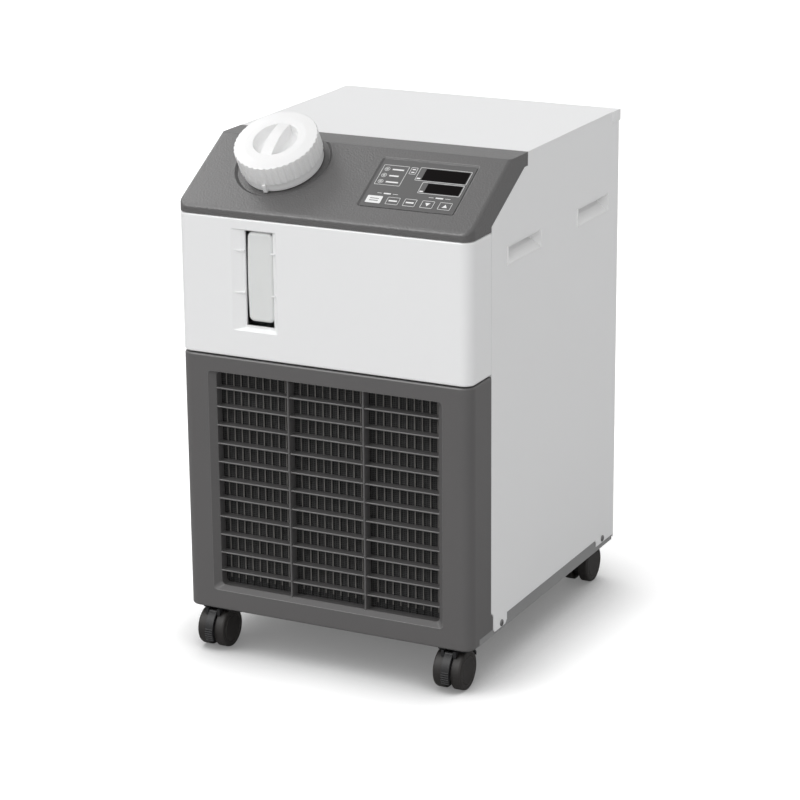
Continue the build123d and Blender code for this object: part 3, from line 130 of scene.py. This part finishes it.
def relief_group():
    """Normal of a moulded or painted surface: rounded edges, fine grain and a slow ripple."""
    group, given, result = make_group(
        "surface_relief",
        [("Edge Radius", "NodeSocketFloat", 0.0005), ("Grain Scale", "NodeSocketFloat", 900.0),
         ("Grain Depth", "NodeSocketFloat", 0.00002), ("Ripple Depth", "NodeSocketFloat", 0.0)],
        [("Normal", "NodeSocketVector")])
    place = object_place(group)
    bevel = add_node(group, "ShaderNodeBevel", {"Radius": given["Edge Radius"]}, samples=BEVEL_SAMPLES)
    grain = add_node(group, "ShaderNodeTexNoise",
                     {"Vector": place, "Scale": given["Grain Scale"], "Detail": 3.0})
    ripple = add_node(group, "ShaderNodeTexNoise", {"Vector": place, "Scale": 14.0, "Detail": 1.0})
    slow = add_node(group, "ShaderNodeBump", {"Distance": given["Ripple Depth"],
                                              "Height": ripple.outputs["Fac"],
                                              "Normal": bevel.outputs["Normal"]})
    fine = add_node(group, "ShaderNodeBump", {"Distance": given["Grain Depth"],
                                              "Height": grain.outputs["Fac"],
                                              "Normal": slow.outputs["Normal"]})
    feed(group, result, {"Normal": fine.outputs["Normal"]})
    return group


def shade_group():
    """Colour with slow variation, and a painted highlight that lightens it along the edges."""
    group, given, result = make_group(
        "colour_with_painted_edge_highlight",
        [("Color", "NodeSocketColor", (0.5, 0.5, 0.5, 1)),
         ("Edge Color", "NodeSocketColor", (0.6, 0.6, 0.6, 1)),
         ("Variation", "NodeSocketFloat", 0.04), ("Edge Highlight", "NodeSocketFloat", 0.3),
         ("Edge Radius", "NodeSocketFloat", 0.0006)],
        [("Color", "NodeSocketColor")])
    clouds = add_node(group, "ShaderNodeTexNoise",
                      {"Vector": object_place(group), "Scale": 9.0, "Detail": 4.0})
    # The colour is scaled by 1 + variation * (cloud - 0.5).
    centre = add_math(group, "MULTIPLY_ADD", given["Variation"], -0.5, 1.0)
    swing = add_math(group, "MULTIPLY_ADD", clouds.outputs["Fac"], given["Variation"], centre)
    varied = add_node(group, "ShaderNodeVectorMath", {0: given["Color"], "Scale": swing},
                      operation="SCALE")
    # Painted highlight: where the bevel's rounded normal turns from the true normal, the colour blends
    # towards the edge colour.
    bevel = add_node(group, "ShaderNodeBevel", {"Radius": given["Edge Radius"]}, samples=BEVEL_SAMPLES)
    shape = add_node(group, "ShaderNodeNewGeometry")
    match = add_node(group, "ShaderNodeVectorMath",
                     {0: bevel.outputs["Normal"], 1: shape.outputs["Normal"]}, operation="DOT_PRODUCT")
    edge = add_node(group, "ShaderNodeMapRange",
                    {"Value": match.outputs["Value"], "From Min": 0.99, "From Max": 0.8})
    amount = add_math(group, "MULTIPLY", edge.outputs["Result"], given["Edge Highlight"])
    blend = add_node(group, "ShaderNodeMix",
                     {"Factor": amount, "A": varied.outputs["Vector"], "B": given["Edge Color"]},
                     data_type="RGBA")
    feed(group, result, {"Color": blend.outputs["Result"]})
    return group


RELIEF = relief_group()
SHADE = shade_group()


def new_material(name):
    """Material with a Principled shader, and that shader."""
    material = bpy.data.materials.new(name)
    material.use_nodes = True
    return material, material.node_tree.nodes["Principled BSDF"]


def finish_surface(name, color, roughness, edge=None, variation=0.03, edge_highlight=0.3, radius=0.0005,
                   grain=(900.0, 0.00002), ripple=0.0, metallic=0.0, specular=0.5, coat=0.0):
    """Painted or moulded finish built from the two shared groups; the grain is its scale and depth."""
    material, shader = new_material(name)
    tree = material.node_tree
    grain_scale, grain_depth = grain
    # The edge colour, blended in along the edges, is a painted highlight.
    shade = add_node(tree, "ShaderNodeGroup",
                     {"Color": (*color, 1), "Edge Color": (*(edge or color), 1), "Variation": variation,
                      "Edge Highlight": edge_highlight, "Edge Radius": radius}, node_tree=SHADE)
    relief = add_node(tree, "ShaderNodeGroup",
                      {"Edge Radius": radius, "Grain Scale": grain_scale, "Grain Depth": grain_depth,
                       "Ripple Depth": ripple}, node_tree=RELIEF)
    feed(tree, shader, {"Base Color": shade.outputs["Color"], "Normal": relief.outputs["Normal"],
                        "Roughness": roughness, "Metallic": metallic,
                        "Specular IOR Level": specular, "Coat Weight": coat})
    return material


def let_light_in(material, weight, radius, scale):
    """Gives a plastic light that scatters under its surface."""
    tree = material.node_tree
    feed(tree, tree.nodes["Principled BSDF"],
         {"Subsurface Weight": weight, "Subsurface Radius": radius, "Subsurface Scale": scale})
    return material


def translucent_plastic():
    """Milky polyethylene of the tank and its level window."""
    material = finish_surface("milky_tank", (0.78, 0.79, 0.78), 0.28, variation=0.03, edge_highlight=0.0,
                              radius=0.001, grain=(500.0, 0.00002))
    return let_light_in(material, 0.35, (1.0, 0.95, 0.9), 0.006)


def cap_plastic():
    """White plastic of the filler cap."""
    material = finish_surface("cap_plastic", (0.86, 0.86, 0.86), 0.4, edge=(0.95, 0.95, 0.95), variation=0.02,
                              edge_highlight=0.4, radius=0.0008, grain=(700.0, 0.000015))
    return let_light_in(material, 0.3, (1.0, 0.98, 0.95), 0.008)


def filter_mesh():
    """Ribs with a pale front, and behind them a dark woven net."""
    material, shader = new_material("filter_mesh")
    tree = material.node_tree
    place = object_place(tree)
    parts = add_node(tree, "ShaderNodeSeparateXYZ", {"Vector": place})
    ahead = add_math(tree, "LESS_THAN", parts.outputs["Y"], at(0, RIB_FRONT + RIB_FACE, 0).y)
    above = add_math(tree, "GREATER_THAN", parts.outputs["Z"], at(0, 0, RIB_LOW).z)
    ribs = add_math(tree, "MULTIPLY", ahead, above)
    threads = [add_math(tree, "SINE", add_math(tree, "MULTIPLY", parts.outputs[axis], math.tau / NET_PITCH))
               for axis in ("X", "Z")]
    weave = add_math(tree, "MAXIMUM", *threads)
    dust = add_node(tree, "ShaderNodeTexNoise", {"Vector": place, "Scale": 160.0, "Detail": 5.0})
    level = add_math(tree, "MULTIPLY", weave, dust.outputs["Fac"])
    net = add_node(tree, "ShaderNodeMapRange", {"Value": level, "From Min": -0.2, "From Max": 0.6,
                                                "To Min": 0.003, "To Max": 0.06})
    color = add_node(tree, "ShaderNodeMix",
                     {"Factor": ribs, "A": net.outputs["Result"], "B": (0.15, 0.144, 0.138, 1)},
                     data_type="RGBA")
    bump = add_node(tree, "ShaderNodeBump", {"Distance": 0.0003, "Height": weave})
    feed(tree, shader, {"Base Color": color.outputs["Result"], "Normal": bump.outputs["Normal"],
                        "Roughness": 0.6, "Specular IOR Level": 0.12})
    return material


def finned_coil():
    """Aluminium fins of the condenser, as lines across it."""
    material, shader = new_material("finned_coil")
    tree = material.node_tree
    parts = add_node(tree, "ShaderNodeSeparateXYZ", {"Vector": object_place(tree)})
    wave = add_math(tree, "SINE", add_math(tree, "MULTIPLY", parts.outputs["X"], math.tau / FIN_PITCH))
    tone = add_node(tree, "ShaderNodeMapRange",
                    {"Value": wave, "From Min": -1.0, "To Min": 0.08, "To Max": 0.5})
    bump = add_node(tree, "ShaderNodeBump", {"Distance": 0.0006, "Height": wave})
    feed(tree, shader, {"Base Color": tone.outputs["Result"], "Normal": bump.outputs["Normal"],
                        "Metallic": 0.7, "Roughness": 0.45})
    return material


def brushed_metal(name, color, roughness, stretch=(1, 1, 60)):
    """Metal with fine drawn lines along one direction."""
    material = finish_surface(name, color, roughness, variation=0.1, edge_highlight=0.2, radius=0.0004,
                              grain=(300.0, 0.00001), metallic=1.0)
    tree = material.node_tree
    pull = add_node(tree, "ShaderNodeMapping", {"Vector": object_place(tree), "Scale": stretch})
    streaks = add_node(tree, "ShaderNodeTexNoise", {"Vector": pull.outputs["Vector"], "Scale": 40.0})
    spread = add_node(tree, "ShaderNodeMapRange",
                      {"Value": streaks.outputs["Fac"], "To Min": roughness - STREAK_SHINE,
                       "To Max": roughness + STREAK_MATTE})
    feed(tree, tree.nodes["Principled BSDF"], {"Roughness": spread.outputs["Result"]})
    return material


def make_looks():
    """Materials by the record's slots, and the control hood's own."""
    # Each edge colour below is a painted highlight along that material's edges; pale_grey serves the hood and
    # the grey mouldings.
    grey = (0.1, 0.097, 0.097)
    pale_grey = (0.36, 0.355, 0.355)
    white = (0.87, 0.873, 0.877)
    black = (0.012, 0.012, 0.013)
    return {
        "white_panel": finish_surface("powder_coat", white, 0.42, edge=(0.87, 0.87, 0.87), variation=0.015,
                                      radius=0.0006, grain=(1500.0, 0.000012), ripple=0.0004),
        "grey_pan": finish_surface("pan_paint", (0.26, 0.26, 0.262), 0.4, edge=(0.36, 0.36, 0.36),
                                   variation=0.05, grain=(1500.0, 0.00001)),
        "frame_steel": brushed_metal("galvanised", (0.6, 0.61, 0.62), 0.42, (30, 1, 1)),
        "white_moulding": finish_surface("white_moulding", white, 0.36, edge=(0.88, 0.88, 0.88),
                                         variation=0.015, radius=0.0007, grain=(1300.0, 0.00001),
                                         ripple=0.0003),
        "grey_moulding": finish_surface("grey_moulding", grey, 0.46, edge=pale_grey, variation=0.05,
                                        edge_highlight=0.8, radius=0.001, grain=(1100.0, 0.00003)),
        "hood": finish_surface("hood_moulding", (0.1, 0.098, 0.098), 0.46, edge=pale_grey, variation=0.06,
                               edge_highlight=0.8, radius=0.001, grain=(430.0, 0.0006)),
        "black_plastic": finish_surface("black_plastic", black, 0.55, edge=(0.03, 0.03, 0.03),
                                        variation=0.1, grain=(800.0, 0.00002), specular=0.3),
        "translucent": translucent_plastic(),
        "white_cap": cap_plastic(),
        "rubber": finish_surface("rubber", (0.02, 0.02, 0.02), 0.7, variation=0.15, grain=(600.0, 0.00005)),
        "tread": finish_surface("wheel_plastic", (0.019, 0.017, 0.016), 0.6, edge=(0.1, 0.095, 0.09),
                                variation=0.15, edge_highlight=0.8, radius=0.001, grain=(500.0, 0.00005),
                                specular=0.3),
        "filter": filter_mesh(),
        "overlay": finish_surface("overlay_sheet", (0.088, 0.087, 0.087), 0.34, variation=0.03, edge_highlight=0.2,
                                  radius=0.0003, grain=(2200.0, 0.000012)),
        "board": finish_surface("board", (0.02, 0.12, 0.05), 0.35, variation=0.1),
        "zinc": brushed_metal("zinc", (0.68, 0.68, 0.67), 0.35),
        "copper": brushed_metal("copper", (0.78, 0.42, 0.28), 0.32),
        "coil": finned_coil(),
        "black_metal": finish_surface("black_paint", (0.015, 0.015, 0.015), 0.35, edge=(0.06, 0.06, 0.06),
                                      variation=0.15, ripple=0.0005),
        "motor": brushed_metal("cast_housing", (0.5, 0.5, 0.51), 0.5),
        "stainless": brushed_metal("stainless", (0.62, 0.61, 0.6), 0.3),
        "brass": brushed_metal("brass", (0.76, 0.6, 0.32), 0.3, (60, 1, 60)),
        "hose": finish_surface("hose", (0.02, 0.02, 0.02), 0.6, variation=0.1, grain=(900.0, 0.00004)),
    }


looks = make_looks()
for part in frame["record"]["subparts"]:
    node = frame["nodes"][part["node"]]
    node.data.materials.clear()
    node.data.materials.append(looks[part["material_slot"]])

frame["nodes"]["control_hood"].data.materials[0] = looks["hood"]
# Grip moulding, with a crisp painted highlight along its rims.
grip_white = finish_surface("grip_moulding", (0.93, 0.93, 0.93), 0.36, edge=(0.98, 0.98, 0.98),
                            variation=0.01, edge_highlight=0.6, radius=0.0002, grain=(1300.0, 0.00001))
for name in ("side_grips_left", "side_grips_right"):
    frame["nodes"][name].data.materials[0] = grip_white

print_light = finish_surface("print_light", (0.7, 0.7, 0.7), 0.5, variation=0.02, edge_highlight=0.0,
                             radius=0.00005, grain=(2500.0, 0.000004))
print_white = finish_surface("print_white", (0.85, 0.85, 0.85), 0.42, variation=0.02, edge_highlight=0.0,
                             radius=0.00005, grain=(2500.0, 0.000004))
window_black = finish_surface("display_window", (0.004, 0.003, 0.003), 0.3, variation=0.05, edge_highlight=0.0,
                              radius=0.0001, grain=(200.0, 0.000001), specular=0.03)
screw_steel = brushed_metal("screw_steel", (0.19, 0.19, 0.19), 0.35)
lamp_lens = finish_surface("lamp_lens", (0.55, 0.56, 0.55), 0.25, variation=0.05, edge_highlight=0.0, radius=0.0002,
                           grain=(900.0, 0.000004), coat=0.5)


def add_mesh(name, mesh, material, body="cabinet"):
    """Object from a bmesh, with its material, riding on a body."""
    bmesh.ops.recalc_face_normals(mesh, faces=mesh.faces[:])
    data = bpy.data.meshes.new(name)
    mesh.to_mesh(data)
    mesh.free()
    data.materials.append(material)
    piece = bpy.data.objects.new(name, data)
    bpy.context.scene.collection.objects.link(piece)
    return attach(piece, body)


def rounded_outline(left, right, low, high, radius, steps=4):
    """Corners of a rounded rectangle, counter-clockwise."""
    points = []
    centres = ((right - radius, high - radius, 0), (left + radius, high - radius, 90),
               (left + radius, low + radius, 180), (right - radius, low + radius, 270))
    for x, y, start in centres:
        for step in range(steps + 1):
            angle = math.radians(start + 90 * step / steps)
            points.append((x + radius * math.cos(angle), y + radius * math.sin(angle)))
    return points


def circle_outline(x, y, radius, count=24):
    """Points of a circle, counter-clockwise."""
    return [(x + radius * math.cos(math.tau * k / count), y + radius * math.sin(math.tau * k / count))
            for k in range(count)]


def add_plate(mesh, outline, low, high, hole=None):
    """Flat plate over an outline in the mesh, with an optional hole of as many points."""
    bottom = [mesh.verts.new((x, y, low)) for x, y in outline]
    top = [mesh.verts.new((x, y, high)) for x, y in outline]
    count = len(outline)
    for k in range(count):
        mesh.faces.new((bottom[k], bottom[(k + 1) % count], top[(k + 1) % count], top[k]))
    if hole is None:
        mesh.faces.new(top)
        mesh.faces.new(bottom[::-1])
        return
    inner_bottom = [mesh.verts.new((x, y, low)) for x, y in hole]
    inner_top = [mesh.verts.new((x, y, high)) for x, y in hole]
    for k in range(count):
        n = (k + 1) % count
        mesh.faces.new((top[k], top[n], inner_top[n], inner_top[k]))
        mesh.faces.new((inner_bottom[k], inner_bottom[n], bottom[n], bottom[k]))
        mesh.faces.new((inner_top[k], inner_top[n], inner_bottom[n], inner_bottom[k]))


def add_print(mesh, outline, height, hole=None):
    """Print of one thickness over an outline, lying at a height."""
    add_plate(mesh, outline, height, height + PRINT_THICK, hole)


def add_line_box(mesh, left, right, low, high, radius, height, line=LINE):
    """Printed outline of a rounded rectangle."""
    outer = rounded_outline(left, right, low, high, radius)
    inner = rounded_outline(left + line, right - line, low + line, high - line,
                            max(radius - line, LEAST_CORNER))
    add_print(mesh, outer, height, inner)


def add_bar(mesh, left, right, low, high, height):
    """Printed bar."""
    add_print(mesh, [(left, low), (right, low), (right, high), (left, high)], height)


def slope_piece(name, mesh, material):
    """Piece drawn on the slanted face, moved into place."""
    mesh.transform(slope_matrix())
    return add_mesh(name, mesh, material)


# Places on the slanted face, in millimetres: across from the middle and up from the bend.
KEYS = ((41.0, 60.8), (66.5, 83.0), (88.3, 104.0), (110.0, 126.0), (132.0, 148.0))   # left, right
KEY_LOW, KEY_HIGH = -90.3, -77.9
KEY_CORNER = 1.4
KEY_ROOT = 0.2                     # how deep a key's pad reaches into the overlay
KEY_RISE = 0.35
KEY_SOFT = 0.0003                  # rounding of the pads' edges, in metres
KEY_TOP = OVERLAY_TOP + KEY_RISE
FRAME_INSET = 0.3                  # from a key's edge to its printed frame
FRAME_CORNER = 1.1
LEAST_CORNER = 0.15
# left, right, low, high and corner of the frames round lamps, units and displays
PANEL_FRAMES = ((40.0, 72.4, -59.5, -26.3, 1.2), (75.0, 83.4, -38.1, -26.8, 1.0),
                (86.2, 151.0, -47.1, -25.2, 1.2), (98.0, 150.5, -67.0, -48.6, 1.2))
LAMP_X = 46.3
LAMPS = (-33.2, -43.7, -54.0)
LAMP_RADIUS = 1.7
LAMP_RISE = 0.25
LAMP_RING, LAMP_RING_BORE = 3.3, 2.75
# bars that stand in for words
LAMP_WORD_LEFT = 53.0
LAMP_WORD_RIGHT = (67.5, 65.0, 68.5)
LAMP_WORD_HALF = 1.1
UNIT_MARKS = ((77.2, 81.2, -31.0, -29.4), (77.2, 81.2, -35.6, -34.0),
              (87.8, 92.2, -44.6, -42.6), (99.6, 104.0, -64.8, -62.9))
HEADINGS = ((50.5, 56.0, -73.0, 0.3), (58.5, 67.5, -73.0, 1.0), (70.0, 76.5, -73.0, 0.3),
            (115.0, 121.0, -72.2, 0.3), (123.5, 133.0, -72.2, 1.0), (135.5, 142.0, -72.2, 0.3))
KEY_WORDS = ((69.4, 80.0, -85.2, -82.9), (91.2, 101.0, -85.2, -82.9))
START_MARKS = ((45.5, 56.5, -83.0, -82.0), (45.5, 56.5, -86.4, -85.4))
ARROWS = ((118.0, -1), (140.0, 1))   # middle, and up or down
ARROW_TIP, ARROW_BACK, ARROW_HALF = 2.7, 2.5, 3.3
WINDOWS = ((94.0, 149.2, -45.9, -27.0), (105.5, 148.8, -65.4, -50.2))
WINDOW_CORNER = 0.6


def key_frame(left, right):
    """Place of the print on a key, inside its edge."""
    return (left + FRAME_INSET, right - FRAME_INSET, KEY_LOW + FRAME_INSET, KEY_HIGH - FRAME_INSET,
            FRAME_CORNER)


def key_pads():
    keys = bmesh.new()
    for left, right in KEYS:
        add_plate(keys, rounded_outline(left, right, KEY_LOW, KEY_HIGH, KEY_CORNER),
                  OVERLAY_TOP - KEY_ROOT, KEY_TOP)
    pads = slope_piece("key_pads", keys, looks["overlay"])
    soften = pads.modifiers.new("soften", "BEVEL")
    soften.width = KEY_SOFT
    soften.segments = 2


def panel_lines():
    """Frames of the keys, the lamps and the displays, and the rings round the lamps."""
    lines = bmesh.new()
    for left, right in KEYS[1:]:
        add_line_box(lines, *key_frame(left, right), KEY_TOP)
    for place in PANEL_FRAMES:
        add_line_box(lines, *place, OVERLAY_TOP)
    for v in LAMPS:
        add_print(lines, circle_outline(LAMP_X, v, LAMP_RING), OVERLAY_TOP,
                  circle_outline(LAMP_X, v, LAMP_RING_BORE))
    slope_piece("panel_lines", lines, print_light)


def panel_marks():
    """Plain bars in the places of the words."""
    words = bmesh.new()
    for v, right in zip(LAMPS, LAMP_WORD_RIGHT):
        add_bar(words, LAMP_WORD_LEFT, right, v - LAMP_WORD_HALF, v + LAMP_WORD_HALF, OVERLAY_TOP)
    for bar in UNIT_MARKS:
        add_bar(words, *bar, OVERLAY_TOP)
    for left, right, v, half in HEADINGS:
        add_bar(words, left, right, v - half, v + half, OVERLAY_TOP)
    for bar in KEY_WORDS:
        add_bar(words, *bar, KEY_TOP)
    slope_piece("panel_marks", words, print_white)


def start_key():
    """White face of the first key, with its grey marks."""
    face = bmesh.new()
    add_print(face, rounded_outline(*key_frame(*KEYS[0])), KEY_TOP)
    slope_piece("start_key_face", face, print_white)
    marks = bmesh.new()
    for bar in START_MARKS:
        add_bar(marks, *bar, KEY_TOP + PRINT_THICK)
    slope_piece("start_key_marks", marks, looks["overlay"])


def panel_arrows():
    arrows = bmesh.new()
    middle = (KEY_LOW + KEY_HIGH) / 2
    for x, up in ARROWS:
        add_print(arrows, [(x, middle + up * ARROW_TIP),
                           (x - up * ARROW_HALF, middle - up * ARROW_BACK),
                           (x + up * ARROW_HALF, middle - up * ARROW_BACK)], KEY_TOP)
    slope_piece("panel_arrows", arrows, print_white)


def display_windows():
    windows = bmesh.new()
    for place in WINDOWS:
        add_print(windows, rounded_outline(*place, WINDOW_CORNER), OVERLAY_TOP)
    slope_piece("display_windows", windows, window_black)


def panel_lamps():
    lamps = bmesh.new()
    for v in LAMPS:
        add_plate(lamps, circle_outline(LAMP_X, v, LAMP_RADIUS), OVERLAY_TOP, OVERLAY_TOP + LAMP_RISE)
    slope_piece("panel_lamps", lamps, lamp_lens)


# Places in the cabinet frame and sizes, in millimetres.
SIDE_SCREWS = ((85.5, 8.0), (394.5, 12.0))   # y, z
SIDE_CROSS = 0.4                   # turn of the side screws' crosses, in radians
HEAD_R = 4.2
HEAD_TALL = 1.6
REAR_SCREW_X = 180.5
REAR_SCREW_Z = (20.0, 190.0, 370.0, 538.0)
LOW_SCREW_X, LOW_SCREW_Z = 70.0, 12.0
REAR_HEAD_R = 3.4
REAR_HEAD_TALL = 1.5

# Pan head, in shares of its radius and height.
HEAD_PROFILE = ((1.0, 0.0), (1.0, 0.35), (0.93, 0.62), (0.78, 0.85), (0.6, 0.95), (0.5, 1.0))
HEAD_SIDES = 32
CROSS_ARM, CROSS_CORE = 0.42, 0.14   # reach of the cross along its arms and between them
CROSS_EDGE = 0.955                 # cosine beside an arm up to which it is as wide
CROSS_TAPER = 0.7
CROSS_FLOOR = 0.3


def ring(mesh, reaches, height):
    """Ring of vertices with a reach for each side."""
    return [mesh.verts.new((reach * math.cos(math.tau * k / HEAD_SIDES),
                            reach * math.sin(math.tau * k / HEAD_SIDES), height))
            for k, reach in enumerate(reaches)]


def cross_reach(k):
    """Reach of the cross recess at one side of the head."""
    angle = math.tau * k / HEAD_SIDES
    arm = max(abs(math.cos(angle)), abs(math.sin(angle)))
    return CROSS_ARM if arm > CROSS_EDGE else CROSS_CORE


def pan_head(mesh, place, radius=HEAD_R, tall=HEAD_TALL):
    """Domed screw head with a cross recess, built around the local z axis."""
    before = set(mesh.verts)
    crosses = [radius * cross_reach(k) for k in range(HEAD_SIDES)]
    rings = [ring(mesh, [radius * reach] * HEAD_SIDES, tall * height) for reach, height in HEAD_PROFILE]
    rings.append(ring(mesh, crosses, tall))
    rings.append(ring(mesh, [reach * CROSS_TAPER for reach in crosses], tall * CROSS_FLOOR))
    for low, high in zip(rings, rings[1:]):
        for k in range(HEAD_SIDES):
            n = (k + 1) % HEAD_SIDES
            mesh.faces.new((low[k], low[n], high[n], high[k]))
    mesh.faces.new(rings[-1])
    mesh.faces.new(rings[0][::-1])
    for vert in mesh.verts:
        if vert not in before:
            vert.co = place @ vert.co


def side_screws():
    """Heads of the screws that hold the side panels."""
    heads = bmesh.new()
    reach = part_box("side_panel_right")[1].x
    for side in (-1, 1):
        turn = Matrix.Rotation(side * math.pi / 2, 4, "Y") @ Matrix.Rotation(SIDE_CROSS, 4, "Z")
        for y, z in SIDE_SCREWS:
            spot = at(0, y, z)
            spot.x = side * reach
            pan_head(heads, Matrix.Translation(spot) @ turn @ Matrix.Scale(MM, 4))
    piece = add_mesh("side_screw_heads", heads, screw_steel)
    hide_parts("panel_screws")


def rear_screws():
    """Pan-head screws round the rear panel, each cross at its own angle."""
    heads = bmesh.new()
    spots = [(x, z) for x in (-REAR_SCREW_X, REAR_SCREW_X) for z in REAR_SCREW_Z]
    spots += [(x, LOW_SCREW_Z) for x in (-LOW_SCREW_X, LOW_SCREW_X)]
    for x, z in spots:
        turn = Matrix.Rotation(-math.pi / 2, 4, "X") @ Matrix.Rotation(0.02 * x + 0.01 * z, 4, "Z")
        pan_head(heads, Matrix.Translation(at(x, CABINET_DEPTH, z)) @ turn @ Matrix.Scale(MM, 4),
                 REAR_HEAD_R, REAR_HEAD_TALL)
    piece = add_mesh("rear_screw_heads", heads, looks["zinc"])


# Studio
AMBIENT = 0.62                     # soft light of the world on the object
FLOOR_GLOW = 0.45                  # brings the bare floor up to white
PAINTED_FLOOR_SHADE = 0.33                  # floor's painted shade in the deepest corner
WHITE = (1, 1, 1, 1)


def studio():
    """World that lights softly and shows as white."""
    scene = bpy.context.scene
    scene.view_settings.view_transform = "Standard"
    world = bpy.data.worlds.new("studio")
    scene.world = world
    world.use_nodes = True
    tree = world.node_tree
    soft = tree.nodes["Background"]
    feed(tree, soft, {"Color": WHITE, "Strength": AMBIENT})
    shown = add_node(tree, "ShaderNodeBackground", {"Color": WHITE, "Strength": 1.0})
    path = add_node(tree, "ShaderNodeLightPath").outputs
    seen = add_math(tree, "MAXIMUM", path["Is Camera Ray"], path["Is Glossy Ray"])
    clear = add_math(tree, "MAXIMUM", seen, path["Is Transmission Ray"])
    choose = add_node(tree, "ShaderNodeMixShader",
                      {"Fac": clear, 1: soft.outputs["Background"], 2: shown.outputs["Background"]})
    feed(tree, tree.nodes["World Output"], {"Surface": choose.outputs["Shader"]})


def add_sun(name, direction, strength, angle, sheen_only=False):
    """Soft parallel light from a direction."""
    light = bpy.data.lights.new(name, "SUN")
    light.energy = strength
    light.angle = math.radians(angle)
    lamp = bpy.data.objects.new(name, light)
    lamp.rotation_euler = Vector(direction).to_track_quat("Z", "Y").to_euler()
    lamp.visible_diffuse = not sheen_only
    bpy.context.scene.collection.objects.link(lamp)


def add_softbox(name, place, aim, power, size):
    """Softbox that only shows as a sheen on what it hangs over."""
    light = bpy.data.lights.new(name, "AREA")
    light.energy = power
    light.size = size
    lamp = bpy.data.objects.new(name, light)
    lamp.location = place
    lamp.rotation_euler = (Vector(place) - Vector(aim)).to_track_quat("Z", "Y").to_euler()
    lamp.visible_diffuse = False
    lamp.visible_camera = False
    bpy.context.scene.collection.objects.link(lamp)


def floor_material():
    """Pale floor with a painted shadow that darkens it under the object, and is plain grey to all but the
    camera.
    """
    material, shader = new_material("pale_floor")
    tree = material.node_tree
    # Painted shadow: ambient occlusion darkens the floor's colour and glow near the object.
    near = add_node(tree, "ShaderNodeAmbientOcclusion", {"Distance": PAINTED_SHADOW_REACH}, samples=16)
    depth = add_node(tree, "ShaderNodeMapRange",
                     {"Value": near.outputs["AO"], "From Min": 0.35, "From Max": 0.96,
                      "To Min": PAINTED_FLOOR_SHADE, "To Max": 1.0})
    shade = depth.outputs["Result"]
    feed(tree, shader, {"Base Color": shade, "Roughness": 1.0, "Specular IOR Level": 0.0,
                        "Emission Color": WHITE,
                        "Emission Strength": add_math(tree, "MULTIPLY", shade, FLOOR_GLOW)})
    bounce = add_node(tree, "ShaderNodeBsdfDiffuse", {"Color": (0.6, 0.6, 0.6, 1)})
    path = add_node(tree, "ShaderNodeLightPath")
    choose = add_node(tree, "ShaderNodeMixShader",
                      {"Fac": path.outputs["Is Camera Ray"], 1: bounce.outputs["BSDF"],
                       2: shader.outputs["BSDF"]})
    feed(tree, tree.nodes["Material Output"], {"Surface": choose.outputs["Shader"]})
    return material


def pale_floor():
    """Floor that keeps the lights' soft shadow, with a painted shadow near the object."""
    mesh = bmesh.new()
    bmesh.ops.create_grid(mesh, x_segments=1, y_segments=1, size=20.0)
    data = bpy.data.meshes.new("floor")
    mesh.to_mesh(data)
    mesh.free()
    floor = bpy.data.objects.new("floor", data)
    bpy.context.scene.collection.objects.link(floor)
    data.materials.append(floor_material())


def camera():
    """Camera fitted to the cabinet's corners in the photograph."""
    lens = bpy.data.cameras.new("camera")
    lens.lens = 124.84
    lens.sensor_width = 36.0
    lens.clip_end = 100.0
    view = bpy.data.objects.new("camera", lens)
    view.location = (1.45169, -2.91731, 1.28104)
    view.rotation_euler = [math.radians(angle) for angle in (72.8314, 0.4906, 26.4945)]
    bpy.context.scene.collection.objects.link(view)
    bpy.context.scene.camera = view


key_pads()
panel_lines()
panel_marks()
start_key()
panel_arrows()
display_windows()
panel_lamps()
side_screws()
rear_screws()
studio()
add_sun("key", direction=(-0.5, -0.7, 0.8), strength=1.05, angle=50)
add_sun("glint", direction=(-0.45, -0.75, 0.85), strength=2.4, angle=12, sheen_only=True)
add_softbox("hood_box", place=(-0.85, 0.05, 1.3), aim=(-0.15, -0.18, 0.6), power=4.6, size=0.5)
add_sun("fill", direction=(0.48, -0.85, 0.22), strength=0.48, angle=45)
pale_floor()
camera()
